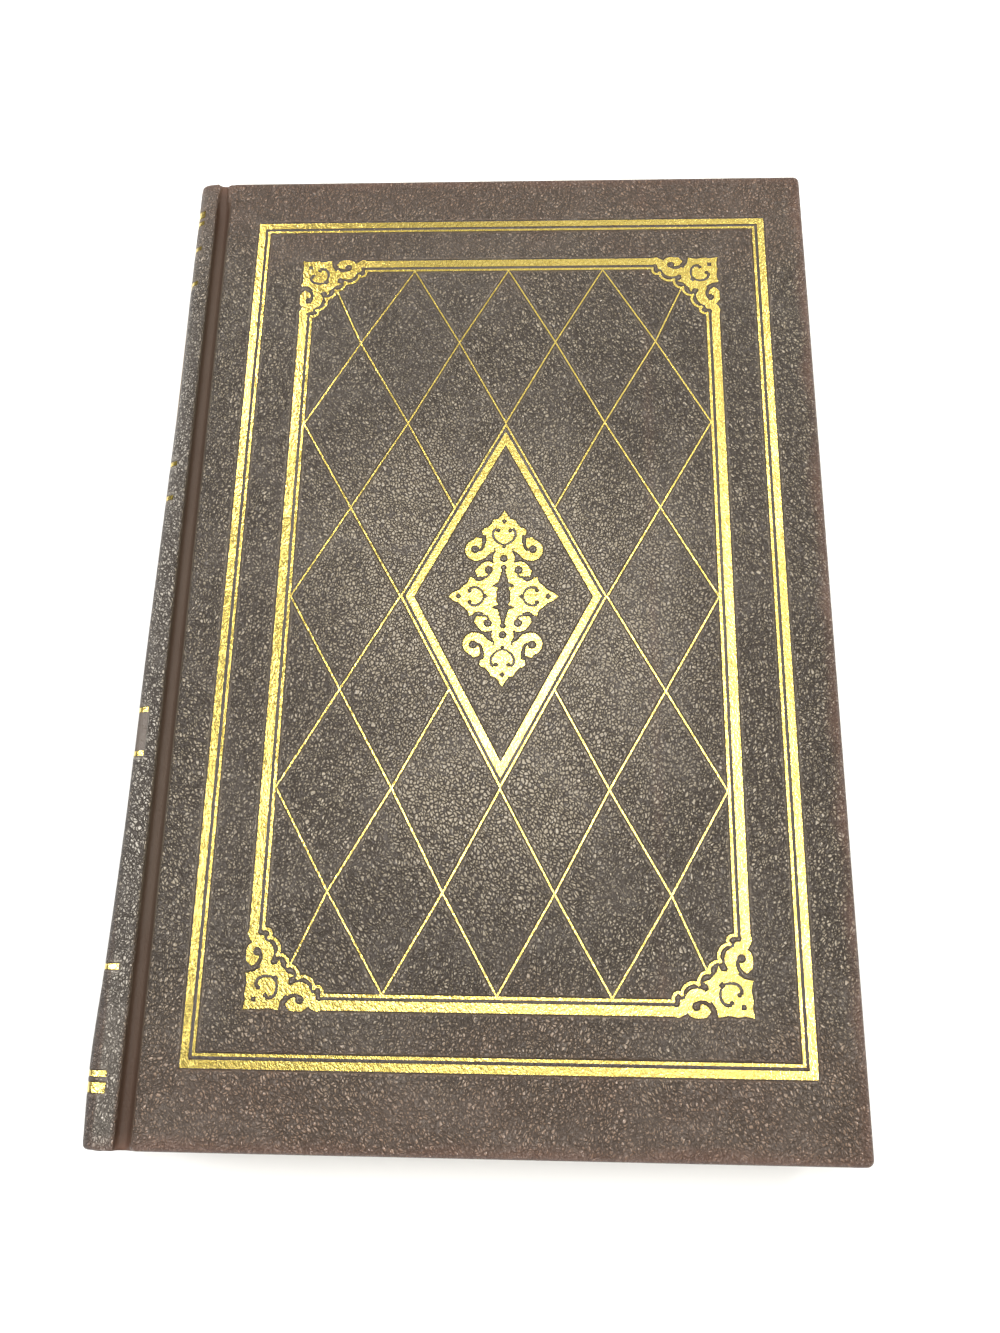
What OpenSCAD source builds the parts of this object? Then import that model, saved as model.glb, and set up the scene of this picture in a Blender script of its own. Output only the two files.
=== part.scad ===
// Leather-bound book lying on its back cover.
// X runs from the spine (-X) to the fore edge (+X), Y from tail (-Y) to head (+Y), Z up.
// The origin is the centre of the footprint, at the underside of the back cover.

/* [Book] */
// Height of the covers, tail to head
book_h = 235; // [200:1:280]
// Width, from the back of the spine to the fore edge of the covers
book_w = 158.5; // [140:0.5:200]
// Thickness over both covers
book_t = 30; // [24:0.5:45]

/* [Covers] */
// Thickness of a pasteboard
board_t = 2.5; // [1.8:0.1:3.2]
// Thickness of the leather
leather_t = 0.8; // [0.6:0.1:1.2]
// Thickness of the pared leather turned in on a cover's inner face
turnin_t = 0.3; // [0.2:0.05:0.5]
// Width of the leather turned in on a cover's inner face
turnin_w = 15; // [10:1:20]
// Thickness of an endpaper
endpaper_t = 0.2; // [0.1:0.05:0.3]
// Margin of leather left bare around a pastedown
pastedown_margin = 3.5; // [2:0.5:6]
// Overhang of the covers past the pages
square_w = 3; // [2:0.5:5]
// Rounding of a cover's outer edges
edge_r = 1.1; // [0.6:0.1:1.4]
// Rounding of a cover's corners, seen from above
corner_r = 1.4; // [0.8:0.1:3]
// Clearance between a closed cover and the pages
cover_gap = 0.2; // [0.1:0.05:0.4]

/* [Joints] */
// Width of the pressed groove between the spine's shoulder and a cover
groove_w = 3.9; // [3:0.1:6]
// Depth of the groove below the cover's face
groove_depth = 2.4; // [1.8:0.1:2.7]
// Clearance between the groove's leather and a cover, where the skin is parted
groove_gap = 0.3; // [0.2:0.05:0.4]
// From the edge of the leather's shoulder in to the edge of the pages' shoulder
page_shoulder = 1.2; // [1:0.1:1.6]
// From the edge of the leather's shoulder out to where the pages lie flat
page_step = 0.7; // [0.5:0.1:1.2]

/* [Spine] */
// Depth of the spine, from its back to the edge of its shoulders
spine_depth = 7.1; // [6.6:0.1:9]
// Radius of the rounded back
back_r = 60; // [45:1:120]
// Rounding from the back over a shoulder
shoulder_r = 3; // [2.4:0.1:3.4]
// How far a shoulder lies below the cover's face
shoulder_drop = 0.4; // [0.2:0.1:0.8]
// Thickness of the stiffener inside the spine
stiffener_t = 1; // [0.6:0.1:1.2]
// Hollow between the stiffener's leather and the lining
hollow_t = 0.2; // [0.1:0.05:0.4]
// Thickness of the cloth and paper lining glued to the pages' back
lining_t = 0.5; // [0.3:0.1:0.7]
// Length of the leather turned in at the head and tail of the spine
spine_turnin = 12; // [8:1:16]
// Diameter of a head band
band_d = 2; // [1.6:0.1:2.2]

/* [Gold frames] */
// Width of the outer gold frame
frame_w = 129.3; // [126:0.1:131]
// Height of the outer gold frame
frame_h = 206; // [200:0.5:208]
// Frame centre, to the right of the book's centre
frame_x = 4.7; // [4:0.1:5.5]
// Frame centre, above the book's centre
frame_y = 1.5; // [0:0.1:3]
// Width of the outer frame's broad line
outer_bar = 1.65; // [1.2:0.05:2]
// Width of the inner frame's broad line
inner_bar = 1.95; // [1.5:0.05:2.2]
// Width of the fine lines
fine_line = 0.6; // [0.4:0.05:0.7]
// Leather left between a broad line and its fine line
line_gap = 0.7; // [0.5:0.05:0.9]
// Distance between the frames at the sides
inset_x = 12.2; // [11:0.1:14]
// Distance between the frames at the top and bottom
inset_y = 11.7; // [11:0.1:14]
// Depth of the pressed tooling in the leather
press_depth = 0.25; // [0.15:0.05:0.35]
// Thickness of the gold leaf with its size
gold_t = 0.12; // [0.05:0.01:0.14]

/* [Gold ornament] */
// Width of the central lozenge over its fine line
lozenge_w = 47.5; // [46:0.5:52]
// Height of the central lozenge over its fine line
lozenge_h = 89.5; // [86:0.5:96]
// Width of the lozenge's broad line
lozenge_bar = 1.65; // [1.2:0.05:2]
// Width of the lozenge's fine line
lozenge_line = 0.42; // [0.3:0.02:0.6]
// Width of the lattice lines
lattice_line = 0.36; // [0.3:0.02:0.5]
// Height of the arabesque
arabesque_h = 43; // [38:0.5:46]
// Length of a corner fleuron along a side
fleuron_l = 17; // [15:0.5:18]

/* [Spine rules] */
// Distance from the head to the middle of the broad rule
broad_rule_head = 9.1; // [8:0.1:11]
// Distance from the tail to the middle of the broad rule
broad_rule_tail = 11.9; // [10:0.1:13]
// Distance from the head to the middle of the first pair of fine rules
pair_1 = 24.9; // [22:0.1:30]
// Distance from the head to the middle of the second pair
pair_2 = 86; // [75:0.1:95]
// Distance from the head to the middle of the third pair
pair_3 = 148.2; // [135:0.1:155]
// Distance from the head to the lone fine rule
lone_rule = 199.2; // [170:0.1:205]
// Distance between the rules of the first pair
pair_1_w = 10.5; // [8:0.1:12]
// Distance between the rules of the second pair
pair_2_w = 9.1; // [8:0.1:12]
// Distance between the rules of the third pair, with the smooth panel between them
pair_3_w = 10.1; // [8:0.1:12]
// Width of a broad rule
broad_rule = 2; // [1.6:0.1:2.2]
// Width of a fine rule
fine_rule = 1.1; // [0.8:0.1:1.3]
// From a broad rule to the fine rule beside it
rule_step = 2.7; // [2.4:0.1:3]
// Flat of the shoulder left plain beside the ends of the rules
rule_end = 2.9; // [2.4:0.1:3.2]
// Depth of the smooth panel pressed into the spine
panel_depth = 0.12; // [0.08:0.01:0.15]

/* [Hidden] */
$fn = 64;

// Room beyond a face for a clean cut
over = 1;
// Overlap that fuses two shapes of one solid
lap = 0.01;
// Clearance between pieces that are glued face to face
glue_gap = 0.1;
mid_z = book_t / 2;
spine_x = -book_w / 2;
fore_x = book_w / 2;
shoulder_x = spine_x + spine_depth;
cover_x = shoulder_x + groove_w;
cover_w = fore_x - cover_x;
cover_t = leather_t + board_t + turnin_t + endpaper_t;

// Pages: half their thickness, their shoulders and their edges
pages_half = mid_z - cover_t - cover_gap - endpaper_t;
back_to_pages = leather_t + stiffener_t + turnin_t + hollow_t + lining_t;
shoulder_half = mid_z - shoulder_drop;
lining_drop = leather_t + glue_gap;
fore_pages = fore_x - square_w;
pages_h = book_h - 2 * square_w;
back_cx = spine_x + back_r;
pages_r = back_r - back_to_pages;
pages_sag = pages_r - sqrt(pow(pages_r, 2) - pow(pages_half, 2));
pages_w = fore_pages - pages_sag - (spine_x + back_to_pages);
page_shoulder_x = shoulder_x - page_shoulder;
page_step_x = shoulder_x + page_step;

// Groove: a half-round pressed channel, its leather of even thickness
groove_r = (groove_w + groove_gap) / 2;
groove_z = book_t - groove_depth + groove_r;
groove_cx = shoulder_x + groove_w / 2 - groove_gap / 3;
groove_end_z = groove_z - sqrt(pow(groove_r + leather_t, 2) - pow(groove_cx - shoulder_x, 2));

// Half sizes of the frames and of the field inside them
inner_x = frame_w / 2 - inset_x;
inner_y = frame_h / 2 - inset_y;
frame_band = inner_bar + line_gap + fine_line;
field_x = inner_x - frame_band;
field_y = inner_y - frame_band;
// Sizes at which the ornaments are drawn below
fleuron_drawn = 17;
arabesque_drawn = 43;
fleuron_k = fleuron_l / fleuron_drawn;
arabesque_k = arabesque_h / arabesque_drawn;
// Where the lattice ends on a fleuron, from its corner along each side
fleuron_valley = 9.3 * fleuron_k;
gold_z = book_t - press_depth;

// Where the spine's fine rules lie, from the head
panel_rules = [pair_3 - pair_3_w / 2, pair_3 + pair_3_w / 2];
fine_rules = [
    broad_rule_head + rule_step,
    pair_1 - pair_1_w / 2,
    pair_1 + pair_1_w / 2,
    pair_2 - pair_2_w / 2,
    pair_2 + pair_2_w / 2,
    panel_rules[0],
    panel_rules[1],
    lone_rule,
    book_h - broad_rule_tail - rule_step];

// Helpers

// A flat drawing in X and Z, drawn out along Y about its middle
module along_y(length) {
    rotate([90, 0, 0])
        linear_extrude(length, center = true)
            children();
}

// The same shape at the back cover as at the front cover
module at_back() {
    translate([0, 0, book_t])
        mirror([0, 0, 1])
            children();
}

// A point of a quarter drawing put into one of the four quarters, or over the diagonal first
function put(p, s, swap = false) =
    swap ? [s[0] * p[1], s[1] * p[0]] : [s[0] * p[0], s[1] * p[1]];
function put_all(points, s, swap = false) = [for (p = points) put(p, s, swap)];
function backwards(points) = [for (i = [len(points) - 1:-1:0]) points[i]];
// Half an outline, closed by its reflection in Y or in X
function whole_across(half) = concat(half, backwards(put_all(half, [-1, 1])));
function whole_along(half) = concat(half, backwards(put_all(half, [1, -1])));
function twice_area(points) =
    let (n = len(points))
    [for (i = [0:n - 1]) cross(points[i], points[(i + 1) % n])] * [for (i = [0:n - 1]) 1];

// An outline is always drawn anticlockwise, whichever quarter it was put into
module outline(points) {
    polygon(twice_area(points) < 0 ? backwards(points) : points);
}

function bezier(a, b, c, d, t) =
    pow(1 - t, 3) * a + 3 * t * pow(1 - t, 2) * b + 3 * t * t * (1 - t) * c + pow(t, 3) * d;
function curve(path, steps) =
    [for (i = [0:steps]) bezier(path[0], path[1], path[2], path[3], i / steps)];
function side_step(points, i) =
    let (n = len(points) - 1)
    let (dir = points[min(i + 1, n)] - points[max(i - 1, 0)])
    [-dir[1], dir[0]] / norm(dir);
function ribbon(points, start_w, end_w) =
    let (n = len(points) - 1)
    let (w = [for (i = [0:n]) (start_w + (end_w - start_w) * i / n) / 2])
    concat(
        [for (i = [0:n]) points[i] + w[i] * side_step(points, i)],
        [for (i = [n:-1:0]) points[i] - w[i] * side_step(points, i)]);

// A curved stroke that changes width along its length
module scroll(path, start_w, end_w, s, swap = false) {
    steps = 8;
    outline(ribbon(curve(put_all(path, s, swap), steps), start_w, end_w));
}

module straight(a, b, w) {
    outline(ribbon([a, b], w, w));
}

module dot(p, r) {
    translate(p) circle(r);
}

module diamond(p, half) {
    translate(p) circle(half, $fn = 4);
}

module rhombus(half_w, half_h) {
    polygon([[half_w, 0], [0, half_h], [-half_w, 0], [0, -half_h]]);
}

// A rhombus drawn in by the same distance on all its sides
module rhombus_inside(half_w, half_h, inset) {
    slant = norm([half_w, half_h]);
    rhombus(half_w - inset * slant / half_h, half_h - inset * slant / half_w);
}

module frame_line(half_w, half_h, inset, w) {
    difference() {
        square(2 * [half_w - inset, half_h - inset], center = true);
        square(2 * [half_w - inset - w, half_h - inset - w], center = true);
    }
}

// Gold tooling, drawn flat about the centre of the frames

module outer_frame_shape() {
    frame_line(frame_w / 2, frame_h / 2, 0, outer_bar);
    frame_line(frame_w / 2, frame_h / 2, outer_bar + line_gap, fine_line);
}

// Corner fleuron: its outer corner at the origin, its arms along the sides of quarter s
plate_points = [[-0.15, -0.15], [0.2, 1.6], [0, 3.3], [0.3, 5.2], [-0.1, 7.2], [1.6, 7.5], [2.9, 8.4],
    [3.3, 10], [4.6, 10], [5.2, 9], [6.3, 9], [6.8, 10.1], [7.25, 8.7], [8, 8]];
curl_barb = [[-0.3, 11], [-0.15, 9.6], [1.3, 8.4], [1.65, 9.6], [2.4, 10.6]];
collar_points = [[0.55, 13.6], [-0.3, 15.2], [0, 16.4], [0, 17], [1.95, 17], [1.95, 15.1],
    [3.2, 14.8], [3.45, 13.9], [2.4, 13.4]];

module fleuron_volute(s, swap) {
    dot(put([2.9, 11.35], s, swap), 2.6);
    dot(put([2, 11.5], s, swap), 2.3);
    outline(put_all(curl_barb, s, swap));
    outline(put_all(collar_points, s, swap));
}

module fleuron_piercing(s, swap) {
    // Eye of the volute and the channel that winds into it
    dot(put([2, 11.6], s, swap), 0.9);
    scroll([[2.55, 11.5], [3.4, 10], [2.4, 8], [-0.8, 7.75]], 0.8, 1.05, s, swap);
    // Round end of the gap beside the straight bar
    dot(put([2.5, 15.65], s, swap), 0.72);
    // Hooked opening beside the tongue
    scroll([[6.25, 6], [7.2, 4.3], [6.5, 1.7], [4.45, 2.35]], 0.5, 0.8, s, swap);
    dot(put([4.35, 2.75], s, swap), 0.48);
}

// Fine line that follows the fleuron in three scallops, with a small bead at each cusp
scallop_starts = [[4.3, 14.45], [6.35, 10.95]];
scallop_valley = 8.75;

module fleuron_scallops(s, swap) {
    w = fine_line / fleuron_k;
    line_y = (inner_bar + line_gap + fine_line / 2) / fleuron_k;
    line_end = [line_y, fleuron_drawn];
    turn = [line_y, fleuron_drawn - 0.75];
    valley = [scallop_valley, scallop_valley];
    first = scallop_starts[0];
    second = scallop_starts[1];
    for (cusp = [turn, first, second]) dot(put(cusp, s, swap), 0.6 * w);
    straight(put(line_end, s, swap), put(turn, s, swap), w);
    scroll([turn, turn + [1.45, 0.2], first + [0.95, 0.75], first], w, w, s, swap);
    scroll([first, first + [1.5, 0.15], second + [1.05, 1.5], second], w, w, s, swap);
    scroll([second, second + [1.2, 0.25], valley + [0.3, 1.35], valley], w, w, s, swap);
}

module fleuron(s) {
    difference() {
        union() {
            outline(concat(put_all(plate_points, s), backwards(put_all(plate_points, s, true))));
            for (swap = [false, true]) fleuron_volute(s, swap);
        }
        for (swap = [false, true]) fleuron_piercing(s, swap);
        diamond(put([6.2, 6.2], s), 0.8);
        translate(put([1.95, 1.95], s)) square(1.05, center = true);
    }
    for (swap = [false, true]) fleuron_scallops(s, swap);
    dot(put([scallop_valley, scallop_valley], s), 0.6 * fine_line / fleuron_k);
}

module inner_frame_shape() {
    // Straight broad and fine lines between the fleurons
    intersection() {
        union() {
            frame_line(inner_x, inner_y, 0, inner_bar);
            frame_line(inner_x, inner_y, inner_bar + line_gap, fine_line);
        }
        union() {
            square(2 * [inner_x + over, inner_y - fleuron_l], center = true);
            square(2 * [inner_x - fleuron_l, inner_y + over], center = true);
        }
    }
    for (sx = [-1, 1], sy = [-1, 1])
        translate([-sx * inner_x, -sy * inner_y])
            scale(fleuron_k) fleuron([sx, sy]);
}

// Lattice: crossings in columns and rows that close up on the lozenge and on the field's edge
function column_x(i) =
    sign(i) * (abs(i) <= 2 ? abs(i) * lozenge_w / 4
        : lozenge_w / 2 + (abs(i) - 2) * (field_x - lozenge_w / 2) / 2);
function row_y(j) =
    sign(j) * (abs(j) <= 3 ? abs(j) * lozenge_h / 4 : field_y);
function crossing(i, j) =
    abs(i) == 4 && abs(j) == 4
        ? [sign(i) * (inner_x - fleuron_valley), sign(j) * (inner_y - fleuron_valley)]
        : [column_x(i), row_y(j)];

// Lines from crossing to crossing, with a small bead where they meet
module lattice_shape() {
    difference() {
        intersection() {
            union() {
                for (i = [-4:3], j = [-4:3]) {
                    rising = (i + j) % 2 == 0;
                    outside = abs(i + 0.5) + abs(j + 0.5) > 2.5;
                    a = rising ? crossing(i, j) : crossing(i, j + 1);
                    b = rising ? crossing(i + 1, j + 1) : crossing(i + 1, j);
                    if (outside) straight(a, b, lattice_line);
                }
                for (i = [-4:4], j = [-4:4])
                    if ((i + j) % 2 == 0 && abs(i) + abs(j) > 1) dot(crossing(i, j), 0.6 * lattice_line);
            }
            square(2 * [field_x, field_y], center = true);
        }
        rhombus(lozenge_w / 2, lozenge_h / 2);
    }
}

module lozenge_shape() {
    half_w = lozenge_w / 2;
    half_h = lozenge_h / 2;
    bar_inset = lozenge_line + line_gap;
    difference() {
        rhombus(half_w, half_h);
        rhombus_inside(half_w, half_h, lozenge_line);
    }
    difference() {
        rhombus_inside(half_w, half_h, bar_inset);
        rhombus_inside(half_w, half_h, bar_inset + lozenge_bar);
    }
}

// Arabesque: a head at each end, a wing at each side, and four stems with volutes
head_points = [[0, 21.5], [0.55, 20.7], [0.75, 20.1], [1.1, 19.9], [1.3, 19.4], [2.5, 19.1], [2.9, 18.2],
    [3.9, 17.1], [4.5, 17], [5.2, 16.4], [5, 15.4], [4.2, 15.2], [4.1, 13.9],
    [4.2, 12.2], [5.2, 11], [6.3, 9], [4.6, 9.3], [3.4, 10.6], [2.2, 11.3],
    [2.5, 12.1], [1.9, 11.7], [1.9, 9.3]];
curl_cap = [[5.2, 14.35], [6.6, 14.7], [7.4, 13.6], [6.4, 12.6], [5.4, 12.7]];
stem_barb = [[4.4, 8.2], [5.7, 7.4], [6.5, 6.2], [6, 4.9], [4.6, 5.1], [4.2, 6]];
stem_foot = [[0.9, 4.6], [1.3, 3.3], [3, 2.7], [3.6, 3.6], [2, 5]];
wing_points = [[12.6, 0], [11.6, 0.9], [10.6, 1.35], [10.1, 1.6], [9.2, 2.5], [8.3, 3.3],
    [8, 3.7], [7.8, 4.8], [7, 4.5], [6.5, 3.9], [5, 3.5], [3, 2.6],
    [1.2, 2.05], [1.7, 1.1], [1.6, 0.3]];

module arabesque_volutes(s) {
    dot(put([6.35, 11.5], s), 2.65);
    outline(put_all(curl_cap, s));
    dot(put([3.7, 6.4], s), 2.15);
    outline(put_all(stem_barb, s));
    scroll([[1.45, 8.4], [1.45, 5.9], [1.3, 4], [5.4, 2.4]], 1.9, 2.3, s);
    outline(put_all(stem_foot, s));
}

module arabesque_piercing(s) {
    // Eye of the large volute and its channel
    dot(put([6.7, 11.7], s), 1);
    scroll([[6.3, 11.6], [5, 11.2], [4.65, 12.2], [4.68, 14.9]], 0.7, 0.95, s);
    // Eye of the small volute and its channel
    dot(put([3.45, 6.5], s), 1);
    scroll([[3.4, 5.8], [3, 4.5], [4.6, 4.7], [6.8, 4.5]], 0.6, 0.5, s);
    // Hooked openings of the head and of the wing
    scroll([[0, 12.75], [2.2, 13.2], [3.6, 15.7], [1.9, 16.9]], 0.5, 0.75, s);
    dot(put([1.4, 16.45], s), 0.52);
    scroll([[4.45, 0], [4.8, 1.9], [6.3, 2.8], [7.75, 1.85]], 0.5, 0.75, s);
    dot(put([7.75, 1.4], s), 0.5);
}

module arabesque_shape() {
    difference() {
        union() {
            for (side = [-1, 1]) {
                outline(put_all(whole_across(head_points), [1, side]));
                dot([0, side * 9.35], 2.45);
                outline(put_all(whole_along(wing_points), [side, 1]));
            }
            for (sx = [-1, 1], sy = [-1, 1]) arabesque_volutes([sx, sy]);
        }
        for (sx = [-1, 1], sy = [-1, 1]) arabesque_piercing([sx, sy]);
        for (side = [-1, 1]) {
            dot([0, side * 9.35], 0.95);
            // Spade between the stems
            dot([0, side * 7.1], 0.72);
            translate([0, side * 5.6]) square([0.76, 3.2], center = true);
            diamond([0, side * 18.8], 0.72);
            diamond([0, side * 12.35], 0.6);
            diamond([side * 10.3, 0], 0.8);
            diamond([side * 4.15, 0], 0.65);
        }
    }
}

module tooling_shape() {
    outer_frame_shape();
    inner_frame_shape();
    lattice_shape();
    lozenge_shape();
    scale(arabesque_k) arabesque_shape();
}

// Gold leaf of one flat drawing, lying in the floor of its pressed channel
module gold_leaf() {
    color("goldenrod")
        translate([frame_x, frame_y, gold_z])
            linear_extrude(gold_t)
                children();
}

// Covers

// The front cover's outside: rounded corners seen from above, and rounded edges in section
module cover_form() {
    low = book_t - leather_t - board_t - turnin_t;
    mid_x = (cover_x + fore_x) / 2;
    intersection() {
        translate([mid_x, 0, low])
            linear_extrude(book_t - low)
                rounded_square([cover_w, book_h], corner_r);
        along_y(book_h)
            translate([mid_x, (low + book_t) / 2])
                rounded_square([cover_w, book_t - low], edge_r);
        translate([mid_x, 0, 0])
            rotate([90, 0, 90])
                linear_extrude(cover_w, center = true)
                    translate([0, (low + book_t) / 2])
                        rounded_square([book_h, book_t - low], edge_r);
    }
}

module rounded_square(size, r) {
    square([size[0] - 2 * r, size[1]], center = true);
    square([size[0], size[1] - 2 * r], center = true);
    for (sx = [-1, 1], sy = [-1, 1])
        translate([sx * (size[0] / 2 - r), sy * (size[1] / 2 - r)]) circle(r);
}

module board_form() {
    translate([cover_x + leather_t, leather_t - book_h / 2, book_t - leather_t - board_t])
        cube([cover_w - 2 * leather_t, book_h - 2 * leather_t, board_t]);
}

// The opening left between the turned-in edges, with no turn-in at the joint
module turnin_opening(clearance, height) {
    translate([cover_x + leather_t + clearance, turnin_w + clearance - book_h / 2,
            book_t - leather_t - board_t - height])
        cube([cover_w - leather_t - turnin_w - 2 * clearance,
            book_h - 2 * (turnin_w + clearance), height]);
}

module cover_leather() {
    difference() {
        cover_form();
        board_form();
        turnin_opening(0, turnin_t + over);
    }
}

module pastedown_form() {
    turnin_opening(glue_gap, turnin_t);
    translate([cover_x + edge_r, pastedown_margin - book_h / 2, book_t - cover_t])
        cube([cover_w - edge_r - pastedown_margin, book_h - 2 * pastedown_margin, endpaper_t]);
}

module front_board() { color("burlywood") board_form(); }

module back_board() { color("burlywood") at_back() board_form(); }

module front_leather() {
    color("saddlebrown")
        difference() {
            cover_leather();
            translate([frame_x, frame_y, gold_z])
                linear_extrude(press_depth + over)
                    tooling_shape();
        }
}

module back_leather() { color("saddlebrown") at_back() cover_leather(); }

module front_pastedown() { color("ivory") pastedown_form(); }

module back_pastedown() { color("ivory") at_back() pastedown_form(); }

module outer_frame() { gold_leaf() outer_frame_shape(); }

module inner_frame() { gold_leaf() inner_frame_shape(); }

module lattice() { gold_leaf() lattice_shape(); }

module lozenge() { gold_leaf() lozenge_shape(); }

module arabesque() { gold_leaf() scale(arabesque_k) arabesque_shape(); }

// Spine

// Section of the rounded back and its two shoulders, drawn in by back_in at the back
// and by top_in at the shoulders
module spine_section(back_in, top_in) {
    half = shoulder_half - top_in;
    r = max(shoulder_r - top_in, leather_t / 2);
    big_r = back_r - back_in;
    reach = sqrt(pow(big_r - r, 2) - pow(half - r, 2));
    corner_x = back_cx - reach;
    translate([corner_x, mid_z - half]) square([shoulder_x - corner_x, 2 * half]);
    intersection() {
        for (side = [-1, 1]) translate([corner_x, mid_z + side * (half - r)]) circle(r);
        translate([shoulder_x - 2 * spine_depth, mid_z - half])
            square([2 * spine_depth, 2 * half]);
    }
    // The back between the points where it runs into the two roundings
    tip_x = reach * big_r / (big_r - r);
    tip_z = (half - r) * big_r / (big_r - r);
    intersection() {
        translate([back_cx, mid_z]) circle(big_r, $fn = 256);
        polygon([[corner_x, mid_z - half + r], [back_cx - tip_x, mid_z - tip_z],
            [spine_x - 2 * over, mid_z - tip_z], [spine_x - 2 * over, mid_z + tip_z],
            [back_cx - tip_x, mid_z + tip_z], [corner_x, mid_z + half - r]]);
    }
}

// A layer wrapped on the back alone, between two depths
module back_layer(outer_in, inner_in, half) {
    intersection() {
        difference() {
            spine_section(outer_in, leather_t);
            spine_section(inner_in, leather_t + inner_in - outer_in);
        }
        translate([spine_x - over, mid_z - half]) square([spine_depth + over, 2 * half]);
    }
}

stiffener_half = shoulder_half - shoulder_r;
stiffener_in = leather_t + stiffener_t;

// What is rounded off where the leather turns down from a shoulder
module shoulder_corners() {
    for (side = [-1, 1])
        translate([shoulder_x, mid_z + side * shoulder_half])
            difference() {
                square(2 * leather_t, center = true);
                translate([-leather_t, -side * leather_t]) circle(leather_t);
            }
}

// The leather below that corner, down to the groove's leather
module shoulder_flanks() {
    top = shoulder_half - leather_t + lap;
    low = groove_end_z - mid_z + leather_t / 3;
    for (side = [-1, 1])
        translate([shoulder_x - leather_t / 2, mid_z + side * (top + low) / 2])
            square([leather_t, top - low], center = true);
}

module spine_skin() {
    difference() {
        along_y(book_h) difference() {
            spine_section(0, 0);
            shoulder_corners();
        }
        along_y(book_h - 2 * leather_t) spine_section(leather_t, leather_t);
        along_y(book_h + over) spine_section(stiffener_in + turnin_t, leather_t + turnin_t);
    }
    along_y(book_h) shoulder_flanks();
    // Leather turned in at head and tail
    for (side = [-1, 1])
        translate([0, side * (book_h / 2 - leather_t - spine_turnin / 2), 0])
            along_y(spine_turnin) back_layer(stiffener_in, stiffener_in + turnin_t, stiffener_half);
}

// Everything on the spine that lies within a depth of its face, left of the rules' ends
module spine_ring(outer_in, inner_in, y, w) {
    translate([0, y, 0])
        along_y(w)
            intersection() {
                difference() {
                    spine_section(outer_in, outer_in);
                    spine_section(inner_in, inner_in);
                }
                translate([spine_x - 2 * over, 0])
                    square([spine_depth - rule_end + 2 * over, book_t]);
            }
}

module all_rules(outer_in, inner_in) {
    spine_ring(outer_in, inner_in, book_h / 2 - broad_rule_head, broad_rule);
    spine_ring(outer_in, inner_in, broad_rule_tail - book_h / 2, broad_rule);
    for (rule = fine_rules) spine_ring(outer_in, inner_in, book_h / 2 - rule, fine_rule);
}

module spine_leather() {
    panel_l = panel_rules[1] - panel_rules[0] - fine_rule;
    panel_y = book_h / 2 - (panel_rules[0] + panel_rules[1]) / 2;
    color("saddlebrown")
        difference() {
            spine_skin();
            all_rules(-over, press_depth);
            spine_ring(-over, panel_depth, panel_y, panel_l);
        }
}

module spine_rules() {
    color("goldenrod") all_rules(press_depth - gold_t, press_depth);
}

module spine_stiffener() {
    color("tan")
        along_y(book_h - 2 * leather_t) back_layer(leather_t, stiffener_in, stiffener_half);
}

module spine_lining() {
    lining_in = back_to_pages - lining_t;
    color("gainsboro")
        along_y(pages_h)
            difference() {
                spine_section(lining_in, lining_drop);
                spine_section(back_to_pages, lining_drop + lining_t);
                translate([page_shoulder_x, 0]) square([spine_depth, book_t]);
            }
}

// Leather of one groove, from the shoulder to just short of the cover
module joint_form() {
    along_y(book_h)
        intersection() {
            difference() {
                translate([groove_cx, groove_z]) circle(groove_r + leather_t);
                translate([groove_cx, groove_z]) circle(groove_r);
            }
            translate([shoulder_x, book_t - groove_depth - leather_t])
                square([groove_w - groove_gap, groove_depth]);
        }
}

module front_joint_leather() { color("sienna") joint_form(); }

module back_joint_leather() { color("sienna") at_back() joint_form(); }

// A band of rolled core and thread that follows the pages' back
module band_form() {
    ring_r = pages_r - band_d / 2;
    sweep = 2 * asin((pages_half - band_d / 2) / ring_r);
    translate([back_cx, 0, mid_z])
        rotate([90, 0, 0])
            rotate([0, 0, 180 - sweep / 2])
                rotate_extrude(angle = sweep, $fn = 180)
                    translate([ring_r, 0]) circle(band_d / 2, $fn = 24);
}

module head_band() {
    color("wheat") translate([0, pages_h / 2 + band_d / 2, 0]) band_form();
}

module tail_band() {
    color("wheat") translate([0, -pages_h / 2 - band_d / 2, 0]) band_form();
}

// Pages

// Section of the sewn pages: rounded back with shoulders, hollowed fore edge
module pages_section() {
    shoulder_top = shoulder_half - lining_drop - lining_t;
    difference() {
        union() {
            intersection() {
                spine_section(back_to_pages, lining_drop + lining_t);
                translate([spine_x, 0])
                    square([page_shoulder_x - spine_x, book_t]);
            }
            polygon([[page_shoulder_x - over, mid_z - pages_half],
                [page_shoulder_x, mid_z - shoulder_top], [page_step_x, mid_z - pages_half],
                [fore_pages, mid_z - pages_half], [fore_pages, mid_z + pages_half],
                [page_step_x, mid_z + pages_half], [page_shoulder_x, mid_z + shoulder_top],
                [page_shoulder_x - over, mid_z + pages_half]]);
        }
        translate([spine_x + back_to_pages + pages_w + pages_r, mid_z])
            circle(pages_r, $fn = 256);
    }
}

module text_block() { color("oldlace") along_y(pages_h) pages_section(); }

module flyleaf_form() {
    translate([page_step_x, -pages_h / 2, mid_z + pages_half])
        cube([fore_pages - page_step_x, pages_h, endpaper_t]);
}

module front_flyleaf() { color("ivory") flyleaf_form(); }

module back_flyleaf() { color("ivory") at_back() flyleaf_form(); }

text_block();
front_flyleaf();
back_flyleaf();
spine_lining();
head_band();
tail_band();
spine_stiffener();
spine_leather();
front_joint_leather();
back_joint_leather();
spine_rules();
front_board();
front_leather();
front_pastedown();
outer_frame();
inner_frame();
lattice();
lozenge();
arabesque();
back_board();
back_leather();
back_pastedown();
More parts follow.
